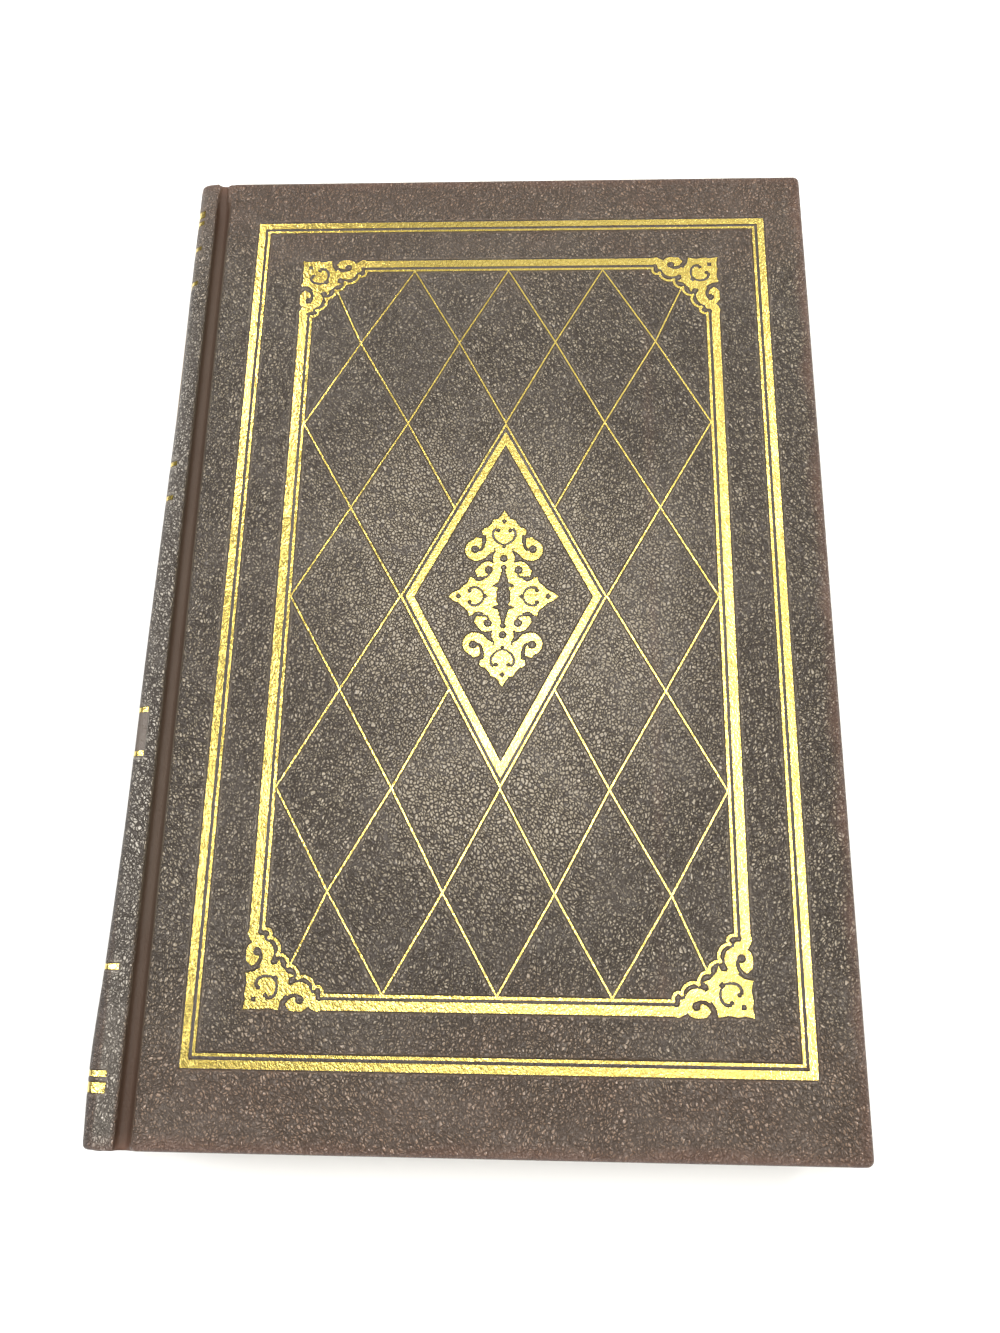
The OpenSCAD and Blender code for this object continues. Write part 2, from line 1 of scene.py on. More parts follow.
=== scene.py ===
import math
import random

import bmesh
import bpy
import numpy as np
from mathutils import Matrix, Vector, geometry, kdtree, noise
from mathutils.bvhtree import BVHTree


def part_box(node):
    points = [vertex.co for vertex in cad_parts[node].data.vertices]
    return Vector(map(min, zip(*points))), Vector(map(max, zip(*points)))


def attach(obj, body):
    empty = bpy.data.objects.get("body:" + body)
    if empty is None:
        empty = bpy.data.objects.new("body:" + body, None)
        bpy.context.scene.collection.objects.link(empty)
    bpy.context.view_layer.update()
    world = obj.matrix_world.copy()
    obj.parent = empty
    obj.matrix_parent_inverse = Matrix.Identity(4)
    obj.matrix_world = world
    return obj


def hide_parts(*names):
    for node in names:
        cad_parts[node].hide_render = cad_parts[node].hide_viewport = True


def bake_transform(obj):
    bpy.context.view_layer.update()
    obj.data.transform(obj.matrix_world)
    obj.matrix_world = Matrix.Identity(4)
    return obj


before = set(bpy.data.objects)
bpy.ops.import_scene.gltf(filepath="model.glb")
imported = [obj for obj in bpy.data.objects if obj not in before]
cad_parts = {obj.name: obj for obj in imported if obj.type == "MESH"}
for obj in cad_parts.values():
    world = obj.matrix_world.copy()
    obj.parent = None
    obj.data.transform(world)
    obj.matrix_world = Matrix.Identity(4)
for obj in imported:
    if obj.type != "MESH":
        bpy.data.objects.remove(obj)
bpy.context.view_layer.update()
print("frame loaded:", len(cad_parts), "nodes")

mm = 0.001    # geometry below is worked out in millimetres and made in metres


def boxMm(node):
    low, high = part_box(node)
    return np.array(low) / mm, np.array(high) / mm


# camera at the photograph's viewing angle
cameraSettings = {
    "place": (0.01414, -0.08838, 0.26609),
    "aim": (0.00424, -0.01541, 0.03),
    "roll": 0.977,      # degrees
    "lens": 29.7,       # on a 36 mm long side
}


def makeCamera(s):
    data = bpy.data.cameras.new("camera")
    data.lens = s["lens"]
    data.sensor_width = 36
    data.clip_start = 0.01
    camera = bpy.data.objects.new("camera", data)
    bpy.context.scene.collection.objects.link(camera)
    forward = (Vector(s["aim"]) - Vector(s["place"])).normalized()
    level = (Vector((0, 1, 0)) - forward * forward.y).normalized()
    roll = math.radians(s["roll"])
    up = level * math.cos(roll) - forward.cross(level) * math.sin(roll)
    turn = Matrix((forward.cross(up), up, -forward)).transposed()
    camera.matrix_world = Matrix.Translation(s["place"]) @ turn.to_4x4()
    bpy.context.scene.camera = camera


makeCamera(cameraSettings)

# small helpers for node trees; an input takes a number, a vector, a colour or another node's output
def setInputs(tree, node, inputs):
    for key, value in inputs.items():
        slot = node.inputs[key]
        if isinstance(value, bpy.types.NodeSocket):
            tree.links.new(value, slot)
        elif value is not None:
            slot.default_value = (*value, 1) if slot.type == "RGBA" else value
    return node


def addNode(tree, kind, inputs=None, **values):
    node = tree.nodes.new(kind)
    for key, value in values.items():
        setattr(node, key, value)
    return setInputs(tree, node, inputs or {})


def mathNode(tree, operation, *values):
    return addNode(tree, "ShaderNodeMath", dict(enumerate(values)), operation=operation).outputs[0]


def vectorNode(tree, operation, *values, output="Vector"):
    node = addNode(tree, "ShaderNodeVectorMath", dict(enumerate(values)), operation=operation)
    return node.outputs[output]


def rangeNode(tree, value, low, high, toLow=0.0, toHigh=1.0, smooth=True):
    inputs = {"Value": value, "From Min": low, "From Max": high, "To Min": toLow, "To Max": toHigh}
    kind = "SMOOTHSTEP" if smooth else "LINEAR"
    return addNode(tree, "ShaderNodeMapRange", inputs, interpolation_type=kind).outputs["Result"]


def mixNode(tree, factor, a, b):
    return addNode(tree, "ShaderNodeMix", {"Factor": factor, "A": a, "B": b}).outputs["Result"]


# 6 and 7 are the node's inputs for colours, and 2 is its output for them
def mixColor(tree, factor, a, b):
    return addNode(tree, "ShaderNodeMix", {0: factor, 6: a, 7: b}, data_type="RGBA").outputs[2]


def tint(tree, base, color, mask, amount):
    return mixColor(tree, mathNode(tree, "MULTIPLY", mask, amount), base, color)


def noiseNode(tree, vector, scale, detail=3.0, rough=0.5, distortion=0.0, output="Fac"):
    inputs = {"Vector": vector, "Scale": scale, "Detail": detail, "Roughness": rough}
    inputs["Distortion"] = distortion
    return addNode(tree, "ShaderNodeTexNoise", inputs).outputs[output]


def attributeNode(tree, name, output="Fac"):
    return addNode(tree, "ShaderNodeAttribute", attribute_name=name).outputs[output]


def addBump(tree, height, strength, distance, under=None):
    inputs = {"Height": height, "Strength": strength, "Distance": distance, "Normal": under}
    return addNode(tree, "ShaderNodeBump", inputs).outputs["Normal"]


# where a point lies, in millimetres
def placeInMm(tree, rest=False):
    if rest:
        source = attributeNode(tree, "restPlace", "Vector")
    else:
        source = addNode(tree, "ShaderNodeTexCoord").outputs["Object"]
    return addNode(tree, "ShaderNodeVectorMath", {0: source, "Scale": 1000}, operation="SCALE").outputs[0]


def newGroup(name, inputs, outputs):
    group = bpy.data.node_groups.new(name, "ShaderNodeTree")
    group.interface.new_socket("Place", in_out="INPUT", socket_type="NodeSocketVector")
    for way, labels in (("INPUT", inputs), ("OUTPUT", outputs)):
        for label in labels:
            group.interface.new_socket(label, in_out=way, socket_type="NodeSocketFloat")
    return group, addNode(group, "NodeGroupInput"), addNode(group, "NodeGroupOutput")


# lamps: a bright panel, and a weaker strip nearer the viewer, show in the gold of the cover's lower half, and
# a dim ceiling in the rest of the gold; small lamps make the grain glint, and one in front lights the tail
# each has its place, what it points at, its size, power and color
lampSettings = {
    "panel": ((-0.005, 0.18, 1.05), (0.0, -0.03, 0.03), (0.27, 0.29), 3.4, (1.0, 0.99, 0.94)),
    "ceiling": ((0.42, 0.36, 1.30), (0.42, 0.2, 0.03), (1.3, 2.0), 7.0, (1.0, 0.98, 0.92)),
    "backLeft": ((-0.48, 0.58, 0.80), (0.0, 0.0, 0.03), (0.18, 0.18), 2.6, (1.0, 0.97, 0.93)),
    "backRight": ((0.50, 0.58, 0.80), (0.0, 0.0, 0.03), (0.18, 0.18), 2.3, (1.0, 0.97, 0.93)),
    "window": ((-0.72, 0.02, 0.70), (-0.03, 0, 0.03), (0.28, 0.46), 5.5, (0.99, 0.99, 1.0)),
    "lower": ((-0.005, -0.02, 1.04), (-0.005, -0.02, 0), (0.7, 0.22), 0.45, (1.0, 0.99, 0.94)),
    "front": ((0.0, -1.25, 0.95), (0, 0, 0.03), (1.7, 0.9), 3.6, (1.0, 0.98, 0.93)),
    "right": ((0.62, -0.12, 0.92), (0.02, 0, 0.03), (0.18, 0.18), 6.0, (1.0, 0.99, 0.95)),
}
worldStrength = 0.22    # for light on the book; the background itself shows at 1


def makeLamps(settings):
    for name, (place, aim, size, power, color) in settings.items():
        data = bpy.data.lights.new(name, "AREA")
        data.shape = "RECTANGLE"
        data.size, data.size_y = size
        data.energy = power
        data.color = color
        lamp = bpy.data.objects.new(name, data)
        lamp.location = place
        lamp.rotation_mode = "QUATERNION"
        lamp.rotation_quaternion = (Vector(aim) - Vector(place)).to_track_quat("-Z", "Y")
        bpy.context.scene.collection.objects.link(lamp)
    world = bpy.data.worlds.new("studio")
    bpy.context.scene.world = world
    world.use_nodes = True
    tree = world.node_tree
    toCamera = addNode(tree, "ShaderNodeLightPath").outputs["Is Camera Ray"]
    setInputs(tree, tree.nodes["Background"], {
        "Color": (1.0, 0.98, 0.96), "Strength": mixNode(tree, toCamera, worldStrength, 1.0)})


makeLamps(lampSettings)
view = bpy.context.scene.view_settings
view.view_transform = "Standard"


# leather grain: fine pebbles and wrinkles drawn out in changing directions, and long creases
grainLook = {
    "plates": 0.20,         # heights in millimetres, from here to "grit"
    "pebble": 0.20,
    "furrow": 0.16,
    "swell": 0.42,
    "crease": 0.1,
    "grit": 0.05,
    # angle, width and length, and the edge's share of a cell, in two kinds of region
    "plateCells": ((38, 1.15, 2.1, 0.20), (-8, 1.15, 1.9, 0.20)),
    "pebbleCells": ((30, 0.66, 0.95, 0.34), (-14, 0.66, 0.86, 0.34)),
    "furrowWaves": ((36, 1.0, 3.4), (-10, 1.0, 2.8)),
    "fineMiddle": (5, -8, 30),      # round here, in millimetres, the grain is finest
    "frontShift": (500, 500, 0),    # where the front skin lies in the grain's own space
    "backShift": (500, 500, 900),   # and the back skin
}


def makeGrainGroup(s):
    tree, into, out = newGroup("leatherGrain", ["Smooth"], ["Height", "ValleyShade", "Crease", "Tone"])
    place = into.outputs["Place"]

    def warped(source, scale, amount):
        warp = noiseNode(tree, source, scale, 2.0, output="Color")
        off = vectorNode(tree, "SUBTRACT", warp, (0.5, 0.5, 0.5))
        return vectorNode(tree, "MULTIPLY_ADD", off, (amount, amount, amount), source)

    bent = warped(warped(place, 0.2, 2.4), 1.2, 0.45)

    def turned(angle, wide, long):
        inputs = {"Vector": bent, "Rotation": (0, 0, math.radians(angle)), "Scale": (wide, long, wide)}
        return addNode(tree, "ShaderNodeMapping", inputs, vector_type="TEXTURE").outputs[0]

    def rounded(value, high):
        t = rangeNode(tree, value, 0.0, high, 1.0, 0.0, False)
        return mathNode(tree, "SUBTRACT", 1.0, mathNode(tree, "MULTIPLY", t, t))

    def fromHalf(value):
        return mathNode(tree, "ABSOLUTE", mathNode(tree, "SUBTRACT", value, 0.5))

    def cells(angle, wide, long, edge):
        inputs = {"Vector": turned(angle, wide, long), "Scale": 1.0}
        node = addNode(tree, "ShaderNodeTexVoronoi", inputs, feature="DISTANCE_TO_EDGE")
        return rounded(node.outputs["Distance"], edge)

    def furrows(angle, wide, long):
        return rounded(fromHalf(noiseNode(tree, turned(angle, wide, long), 1.0, 2.0, 0.55)), 0.12)

    region = noiseNode(tree, place, 0.022, 2.0)
    pick = rangeNode(tree, region, 0.43, 0.57)

    def both(make, kinds):
        return mixNode(tree, pick, make(*kinds[0]), make(*kinds[1]))

    # the grain is finest in the middle of the cover, and drawn out towards its edges
    middle = tuple(a + b for a, b in zip(s["fineMiddle"], s["frontShift"]))
    far = vectorNode(tree, "DISTANCE", place, middle, output="Value")
    drawn = rangeNode(tree, mathNode(tree, "MULTIPLY_ADD", region, 60.0, far), 55.0, 100.0, 0.25, 1.0)
    plates = mixNode(tree, drawn, 1.0, both(cells, s["plateCells"]))
    furrow = mixNode(tree, drawn, 1.0, both(furrows, s["furrowWaves"]))
    pebble = both(cells, s["pebbleCells"])

    ridge = fromHalf(noiseNode(tree, warped(place, 0.2, 3.0), 0.16, 2.0))
    across = noiseNode(tree, place, 0.06, 1.0)
    crease = mathNode(tree, "MULTIPLY", rangeNode(tree, ridge, 0.0, 0.014, 1.0, 0.0),
                      rangeNode(tree, across, 0.49, 0.62))
    fade = mathNode(tree, "MULTIPLY_ADD", into.outputs["Smooth"], -0.92, 1.0)
    crease = mathNode(tree, "MULTIPLY", crease, fade)
    height = mathNode(tree, "MULTIPLY", pebble, s["pebble"])
    height = mathNode(tree, "MULTIPLY_ADD", plates, s["plates"], height)
    height = mathNode(tree, "MULTIPLY_ADD", furrow, s["furrow"], height)
    height = mathNode(tree, "MULTIPLY_ADD", noiseNode(tree, place, 0.5, 2.0), s["swell"], height)
    height = mathNode(tree, "MULTIPLY", height, fade)
    height = mathNode(tree, "MULTIPLY_ADD", crease, -s["crease"], height)
    height = mathNode(tree, "MULTIPLY_ADD", noiseNode(tree, place, 4.2, 2.0, 0.55), s["grit"], height)
    # where the grain lies low, for painted shade in its valleys
    deep = mathNode(tree, "MULTIPLY", plates, furrow)
    line = rangeNode(tree, mathNode(tree, "POWER", mathNode(tree, "SUBTRACT", 1.0, pebble), 0.5), 0.28, 0.80)
    raised = mathNode(tree, "MULTIPLY", deep, mathNode(tree, "MULTIPLY_ADD", line, -0.9, 1.0))
    valleyShade = mathNode(tree, "MULTIPLY", mathNode(tree, "SUBTRACT", 1.0, raised), fade)
    tone = noiseNode(tree, place, 0.03, 4.0, 0.6)
    setInputs(tree, out, {"Height": height, "ValleyShade": valleyShade, "Crease": crease, "Tone": tone})
    return tree


# paper: mottled tone, fine fibres and specks, in millimetres
def makePaperGroup():
    tree, into, out = newGroup("paperFibre", [], ["Height", "Tone", "Speck"])
    place = into.outputs["Place"]
    setInputs(tree, out, {
        "Height": noiseNode(tree, place, 2.6, 4.0, 0.65, 1.2),
        "Tone": noiseNode(tree, place, 0.06, 5.0, 0.62),
        "Speck": rangeNode(tree, noiseNode(tree, place, 0.9, 2.0), 0.70, 0.78)})
    return tree


grainGroup = makeGrainGroup(grainLook)
paperGroup = makePaperGroup()
print("node groups made")


def newMaterial(name, rough, metallic=0.0, specular=0.5, sheen=0.0):
    material = bpy.data.materials.new(name)
    material.use_nodes = True
    tree = material.node_tree
    shader = setInputs(tree, tree.nodes["Principled BSDF"], {
        "Roughness": rough, "Metallic": metallic, "Specular IOR Level": specular, "Sheen Weight": sheen})
    return material, tree, shader


leatherLook = {
    "dark": (0.026, 0.016, 0.010),        # painted shade in the wrinkles
    "mid": (0.218, 0.182, 0.132),         # the field, from here
    "light": (0.268, 0.226, 0.164),       # to here
    "border": (0.208, 0.138, 0.096),      # towards head and tail
    "paintedGlare": (0.40, 0.37, 0.32),           # painted highlight on the flat of the spine's shoulder
    "red": (0.150, 0.078, 0.054),         # where the leather is drawn over an edge
    "pressed": (0.038, 0.018, 0.010),     # in the groove and beside the gold: the pressed leather's darker tone, with painted shade
    "lip": (0.018, 0.012, 0.009),         # painted shade beside the gold
    "rough": 0.26,
    "smoothRough": 0.62,
    "specular": 0.75,
    "ior": 1.5,
    "depth": 0.001,
}
pressedLook = {**leatherLook, "rough": 0.5, "specular": 0.3}
layerNames = ("smooth", "rub", "lip", "border", "paintedGlare")


def makeLeather(name, s):
    material, tree, shader = newMaterial(name, s["rough"], specular=s["specular"])
    smooth, rub, lip, border, paintedGlare = (attributeNode(tree, layer) for layer in layerNames)
    inputs = {"Place": placeInMm(tree, True), "Smooth": smooth}
    grain = addNode(tree, "ShaderNodeGroup", inputs, node_tree=grainGroup).outputs
    valleyShade = rangeNode(tree, grain["ValleyShade"], 0.3, 0.98)
    base = mixColor(tree, rangeNode(tree, grain["Tone"], 0.35, 0.65), s["mid"], s["light"])
    base = mixColor(tree, border, base, s["border"])
    # painted highlight on the flat of the spine's shoulder
    base = tint(tree, base, s["paintedGlare"], paintedGlare, 0.8)
    # painted shade in the grain's valleys, less of it towards head and tail, and in the long creases
    base = tint(tree, base, s["dark"], valleyShade, mathNode(tree, "MULTIPLY_ADD", border, -0.15, 0.95))
    base = tint(tree, base, s["dark"], grain["Crease"], 0.3)
    # the pressed leather's darker tone in the groove and beside the gold, with painted shade
    base = tint(tree, base, s["pressed"], smooth, 0.95)
    base = tint(tree, base, s["red"], rub, 0.55)
    # painted shade beside the gold and on the spine's rounded edge
    base = mixColor(tree, lip, base, s["lip"])
    rough = mathNode(tree, "MULTIPLY_ADD", valleyShade, 0.25, s["rough"])
    rough = mathNode(tree, "MAXIMUM", rough, mathNode(tree, "MULTIPLY", smooth, s["smoothRough"]))
    normal = addBump(tree, grain["Height"], 1.0, s["depth"])
    setInputs(tree, shader, {"Base Color": base, "Roughness": rough, "Normal": normal, "IOR": s["ior"]})
    return material


goldLook = {
    "color": (0.86, 0.70, 0.24),
    # darker tone of the foil's mottle, also used for painted shade in the grain's valleys
    "deep": (0.64, 0.49, 0.12),
    "rough": 0.20,
    "under": 0.13,          # how much of the leather's grain shows through
    "worn": (0.71, 0.75),   # noise between these wears pits in the leaf
}


def makeGold(s):
    material, tree, shader = newMaterial("goldLeaf", s["rough"], metallic=1.0)
    place = placeInMm(tree)
    grain = addNode(tree, "ShaderNodeGroup", {"Place": place, "Smooth": 0.0}, node_tree=grainGroup).outputs
    mottle = noiseNode(tree, place, 1.3, 4.0, 0.7)
    base = mixColor(tree, rangeNode(tree, mottle, 0.36, 0.64), s["deep"], s["color"])
    # painted shade where the leather's grain lies low under the gold
    base = tint(tree, base, s["deep"], grain["ValleyShade"], 0.5)
    bare = rangeNode(tree, noiseNode(tree, place, 2.8, 3.0, 0.6), *s["worn"])
    # where the leaf is worn off, the pressed leather's colour shows, with its painted shade
    base = mixColor(tree, bare, base, leatherLook["pressed"])
    fine = noiseNode(tree, place, 6.0, 3.0, 0.6)
    under = addBump(tree, grain["Height"], s["under"], 0.001)
    setInputs(tree, shader, {
        "Base Color": base,
        "Metallic": mathNode(tree, "SUBTRACT", 1.0, bare),
        "Roughness": mathNode(tree, "MULTIPLY_ADD", fine, 0.2, s["rough"] - 0.1),
        "Normal": addBump(tree, fine, 0.3, 0.00003, under)})
    return material


paperLook = {
    "light": (0.50, 0.45, 0.35),
    "dark": (0.42, 0.36, 0.26),
    "speck": (0.27, 0.19, 0.11),
    "board": ((0.34, 0.27, 0.19), (0.24, 0.18, 0.12)),
}


def makePaper(name, s, lines):
    material, tree, shader = newMaterial(name, 0.85, specular=0.2)
    place = placeInMm(tree)
    paper = addNode(tree, "ShaderNodeGroup", {"Place": place}, node_tree=paperGroup).outputs
    base = mixColor(tree, rangeNode(tree, paper["Tone"], 0.35, 0.68), s["light"], s["dark"])
    if lines:       # leaf edges, a little uneven in tone
        stretched = vectorNode(tree, "MULTIPLY", place, (0.04, 0.04, 9.0))
        leaf = noiseNode(tree, stretched, 1.0, 2.0, 0.7)
        base = tint(tree, base, s["dark"], rangeNode(tree, leaf, 0.36, 0.62), 0.55)
        normal = addBump(tree, leaf, 0.6, 0.00012)
    else:
        normal = addBump(tree, paper["Height"], 0.25, 0.00005)
    base = tint(tree, base, s["speck"], paper["Speck"], 0.35)
    setInputs(tree, shader, {"Base Color": base, "Normal": normal})
    return material


def makeBoard(s):
    material, tree, shader = newMaterial("pasteboard", 0.9, specular=0.2)
    paper = addNode(tree, "ShaderNodeGroup", {"Place": placeInMm(tree)}, node_tree=paperGroup).outputs
    base = mixColor(tree, rangeNode(tree, paper["Height"], 0.3, 0.7), *s["board"])
    setInputs(tree, shader, {"Base Color": base, "Normal": addBump(tree, paper["Height"], 0.4, 0.0001)})
    return material


def makeCloth():
    material, tree, shader = newMaterial("liningCloth", 0.9, specular=0.2, sheen=0.2)
    inputs = {"Vector": placeInMm(tree), "Scale": 0.55, "Distortion": 0.3}
    weave = [addNode(tree, "ShaderNodeTexWave", inputs, bands_direction=axis).outputs["Fac"]
             for axis in ("Y", "Z")]
    threads = mathNode(tree, "MAXIMUM", *weave)
    base = mixColor(tree, threads, (0.36, 0.32, 0.25), (0.66, 0.61, 0.50))
    setInputs(tree, shader, {"Base Color": base, "Normal": addBump(tree, threads, 0.6, 0.00015)})
    return material


def makeThread():
    material, tree, shader = newMaterial("bandThread", 0.7, specular=0.3, sheen=0.3)
    fibre = noiseNode(tree, placeInMm(tree), 3.5, 3.0, 0.6, 0.5)
    base = mixColor(tree, rangeNode(tree, fibre, 0.3, 0.7), (0.30, 0.20, 0.10), (0.48, 0.34, 0.18))
    setInputs(tree, shader, {"Base Color": base, "Normal": addBump(tree, fibre, 0.5, 0.00006)})
    return material


leather = makeLeather("brownLeather", leatherLook)
pressedLeather = makeLeather("pressedLeather", pressedLook)
gold = makeGold(goldLook)
leafPaper = makePaper("leafEdges", paperLook, True)
endPaper = makePaper("endPaper", paperLook, False)
pasteboard = makeBoard(paperLook)
cloth = makeCloth()
thread = makeThread()
print("materials made")


# meshes
class MeshParts:
    # vertices and faces of one piece in millimetres, gathered as grids and then merged where they meet
    def __init__(self):
        self.points = []
        self.faces = []

    def add(self, points, faces):
        start = len(self.points)
        self.points.extend(points)
        self.faces.extend([[start + i for i in face] for face in faces])

    def addGrid(self, rows):
        count = len(rows[0])
        points = [p for row in rows for p in row]
        faces = []
        for r in range(len(rows) - 1):
            for c in range(count - 1):
                a = r * count + c
                faces.append([a, a + 1, a + count + 1, a + count])
        self.add(points, faces)

    # a tube through rings of points, closed with a flat face at each end
    def addTube(self, rings):
        self.addGrid([r + [r[0]] for r in rings])
        for end in (rings[0], rings[-1]):
            self.add(end, [list(range(len(end)))])

    def build(self, name, material, sharpAngle=180):
        merge = 0.0004 * mm
        mesh = bpy.data.meshes.new(name)
        mesh.from_pydata([tuple(float(v) * mm for v in p) for p in self.points], [], self.faces)
        work = bmesh.new()
        work.from_mesh(mesh)
        bmesh.ops.remove_doubles(work, verts=work.verts, dist=merge)
        bmesh.ops.dissolve_degenerate(work, edges=work.edges, dist=merge * 0.5)
        bmesh.ops.recalc_face_normals(work, faces=work.faces)
        for face in work.faces:
            face.smooth = True
        openEdges = sum(1 for e in work.edges if len(e.link_faces) != 2)
        work.to_mesh(mesh)
        work.free()
        mesh.update()
        if sharpAngle < 180:
            mesh.set_sharp_from_angle(angle=math.radians(sharpAngle))
        mesh.materials.append(material)
        piece = bpy.data.objects.new(name, mesh)
        bpy.context.scene.collection.objects.link(piece)
        print(name, len(mesh.vertices), "points,", len(mesh.polygons), "faces,", openEdges, "open edges")
        return piece


def curvePoints(a, b, c, d, count):
    a, b, c, d = (np.array(p, float) for p in (a, b, c, d))
    t = np.linspace(0, 1, count + 1)[:, None]
    return (1 - t) ** 3 * a + 3 * t * (1 - t) ** 2 * b + 3 * t * t * (1 - t) * c + t ** 3 * d


def arcPoints(center, radius, fromDegrees, toDegrees, count):
    a = np.radians(np.linspace(fromDegrees, toDegrees, count + 1))
    return np.stack([center[0] + radius * np.cos(a), center[1] + radius * np.sin(a)], axis=1)


def smoothStep(value, low, high):
    t = np.clip((value - low) / (high - low), 0, 1)
    return t * t * (3 - 2 * t)


skin = {
    "step": 2.0,            # spacing of the leather's points on a cover
    "coverRound": 1.1,      # rounding of a cover's edges
    "cornerRound": 1.6,     # rounding of its corners, seen from above
    "lowRound": 0.7,        # rounding of its edges on the inside
    "start": 1.1,           # from the hinge's line to where the cover's flat face starts
    "backRadius": 60.0,
    "grooveFloor": 27.75,
    "grooveX": -70.2,       # middle of the groove's floor
    "innerEdge": -72.9,     # the leather's inner side, where it leaves the pages' shoulder
    "innerTop": 28.8,       # its height there
    "innerFloor": 26.95,    # and below the groove
    "pleat": 0.08,          # unevenness of the groove's edge at the shoulder
    "lip": 0.15,            # how deep the leather is pressed at the edge of the gold
    "lipWidth": 0.13,
    "frontSpacing": 1.7,    # between the points of a cover's flat face
    "backSpacing": 5.0,
    "ripple": 0.05,         # slow unevenness of a cover's face
    "headRise": 1.35,       # how much shallower the groove gets at the head
    "tailRise": 0.5,
}

coverLow, coverHigh = boxMm("front_leather")
spineLow, spineHigh = boxMm("spine_leather")
bookTop = coverHigh[2]
midZ = bookTop / 2
halfY = coverHigh[1]
hingeX, foreX = coverLow[0], coverHigh[0]
shoulderX = spineHigh[0]
spineX = spineLow[0]
shoulderTop = spineHigh[2]


# the spine's gold rules run right across it: each one's two edges along Y
ruleYs = sorted(set(round(v.co.y / mm, 3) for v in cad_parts["spine_rules"].data.vertices))
rules = list(zip(ruleYs[0::2], ruleYs[1::2]))
ruleEndX = boxMm("spine_rules")[1][0]
print("spine rules:", rules)
backCenter = (spineX + skin["backRadius"], midZ)
ruleGaps = [(a[1], b[0]) for a, b in zip(rules, rules[1:])]
panel = min((g for g in ruleGaps if 7 < g[1] - g[0] < 9.5), key=lambda g: g[0])


# how far a rule presses the leather in, by the distance from the rule's edge
rulePress = {
    "away": (-0.08, 0.0, 0.15, 0.4),
    "depth": (0.2, 0.155, 0.03, 0.0),
    "goldDepths": (0.02, 0.25),     # the gold's face and back, below the pressed leather
    "panelDepth": 0.1,              # of the smooth panel between two rules
    "panelEdge": 0.2,
}


def ruleDepth(y):
    depth = 0.0
    for low, high in rules:
        away = max(low - y, y - high)
        depth = max(depth, float(np.interp(away, rulePress["away"], rulePress["depth"])))
    return depth


def spineDepth(x, y):
    fade = float(smoothStep(-x, -(ruleEndX + 0.35), -(ruleEndX - 0.06)))
    edge = rulePress["panelEdge"]
    inPanel = smoothStep(y, panel[0] - edge, panel[0] + edge)
    inPanel *= 1 - smoothStep(y, panel[1] - edge, panel[1] + edge)
    return fade * max(ruleDepth(y), rulePress["panelDepth"] * float(inPanel))


def rowPlaces():
    limit = halfY - 1.6
    ys = list(np.linspace(-limit, limit, int(2 * limit / skin["step"]) + 1))
    special = []
    for low, high in rules:
        special += [low - a for a in rulePress["away"]] + [high + a for a in rulePress["away"]]
    for edge in panel:
        special += [edge - rulePress["panelEdge"], edge + rulePress["panelEdge"]]
    ys = [y for y in ys if min(abs(y - s) for s in special) > 0.45 or abs(y) > limit - 0.01]
    special = [s for i, s in enumerate(sorted(special)) if i == 0 or s - sorted(special)[i - 1] > 0.03]
    return sorted(ys + special)


rowYs = rowPlaces()


# the spine sits a little over to one side: how far its shoulder lies from the straight line, along Y
leanY = (-117.5, -112, -104, -96, -86, -70, -50, -12, 0, 40, 54, 68, 87, 117.5)
leanX = (-0.95, -1.25, -1.60, -1.50, -0.95, -0.45, 0.0, 0.2, 0.35, 0.9, 1.3, 1.2, 1.0, 0.9)


def smoothLean(y):
    return sum(float(np.interp(y + d, leanY, leanX)) for d in range(-6, 7, 2)) / 7


# leather's section from the middle of the spine to the cover: outer and inner points
def hingeSection():
    s = skin
    floor = s["grooveFloor"]
    low = coverLow[2]
    joinZ = shoulderTop - 2.4
    turn = 180 - math.degrees(math.asin((joinZ - midZ) / s["backRadius"]))
    back = arcPoints(backCenter, s["backRadius"], 180, turn, 12)
    join = back[-1]
    along = np.array([math.sin(math.radians(turn)), -math.cos(math.radians(turn))])
    # each curve starts where the one before it ends, and its two middle points set its direction
    rim = (shoulderX - 0.25, shoulderTop)
    shoulder = curvePoints(join, join + along * 2.0, (rim[0] - 3.2, rim[1] - 0.25), rim, 20)
    edge = curvePoints(rim, (rim[0] + 0.42, rim[1] + 0.02), (rim[0] + 0.55, rim[1] - 0.3),
                       (rim[0] + 0.7, rim[1] - 0.9), 6)
    middle = s["grooveX"]
    flatX = hingeX + s["start"]
    drop = edge[-1] + np.array([0.15, -0.65])
    wall = curvePoints(edge[-1], drop, (middle - 0.85, floor), (middle, floor), 6)
    up = curvePoints((middle, floor), (middle + 1.0, floor), (middle + 1.45, bookTop), (flatX, bookTop), 11)
    outer = np.concatenate([back, shoulder[1:], edge[1:], wall[1:], up[1:]])
    x, top, bottom = s["innerEdge"], s["innerTop"], s["innerFloor"]
    backIn = arcPoints(backCenter, s["backRadius"] - 2.0, 180, turn - 0.4, 12)
    shoulderIn = curvePoints(backIn[-1], backIn[-1] + along * 1.5, (x - 1.9, top), (x, top), 20)
    edgeIn = curvePoints((x, top), (x + 0.3, top), (x + 0.45, top - 0.3), (x + 0.5, top - 0.7), 6)
    wallIn = curvePoints((x + 0.5, top - 0.7), (x + 0.6, top - 1.5), (x + 1.3, bottom), (x + 2.5, bottom), 6)
    upIn = curvePoints((x + 2.5, bottom), (x + 3.3, bottom), (x + 3.9, low), (flatX, low), 11)
    inner = np.concatenate([backIn, shoulderIn[1:], edgeIn[1:], wallIn[1:], upIn[1:]])
    return outer, inner


def outwards(points):
    tangent = np.gradient(points, axis=0)
    tangent[0], tangent[-1] = (0, 1), (1, 0)
    tangent /= np.linalg.norm(tangent, axis=1)[:, None]
    return np.stack([-tangent[:, 1], tangent[:, 0]], axis=1)


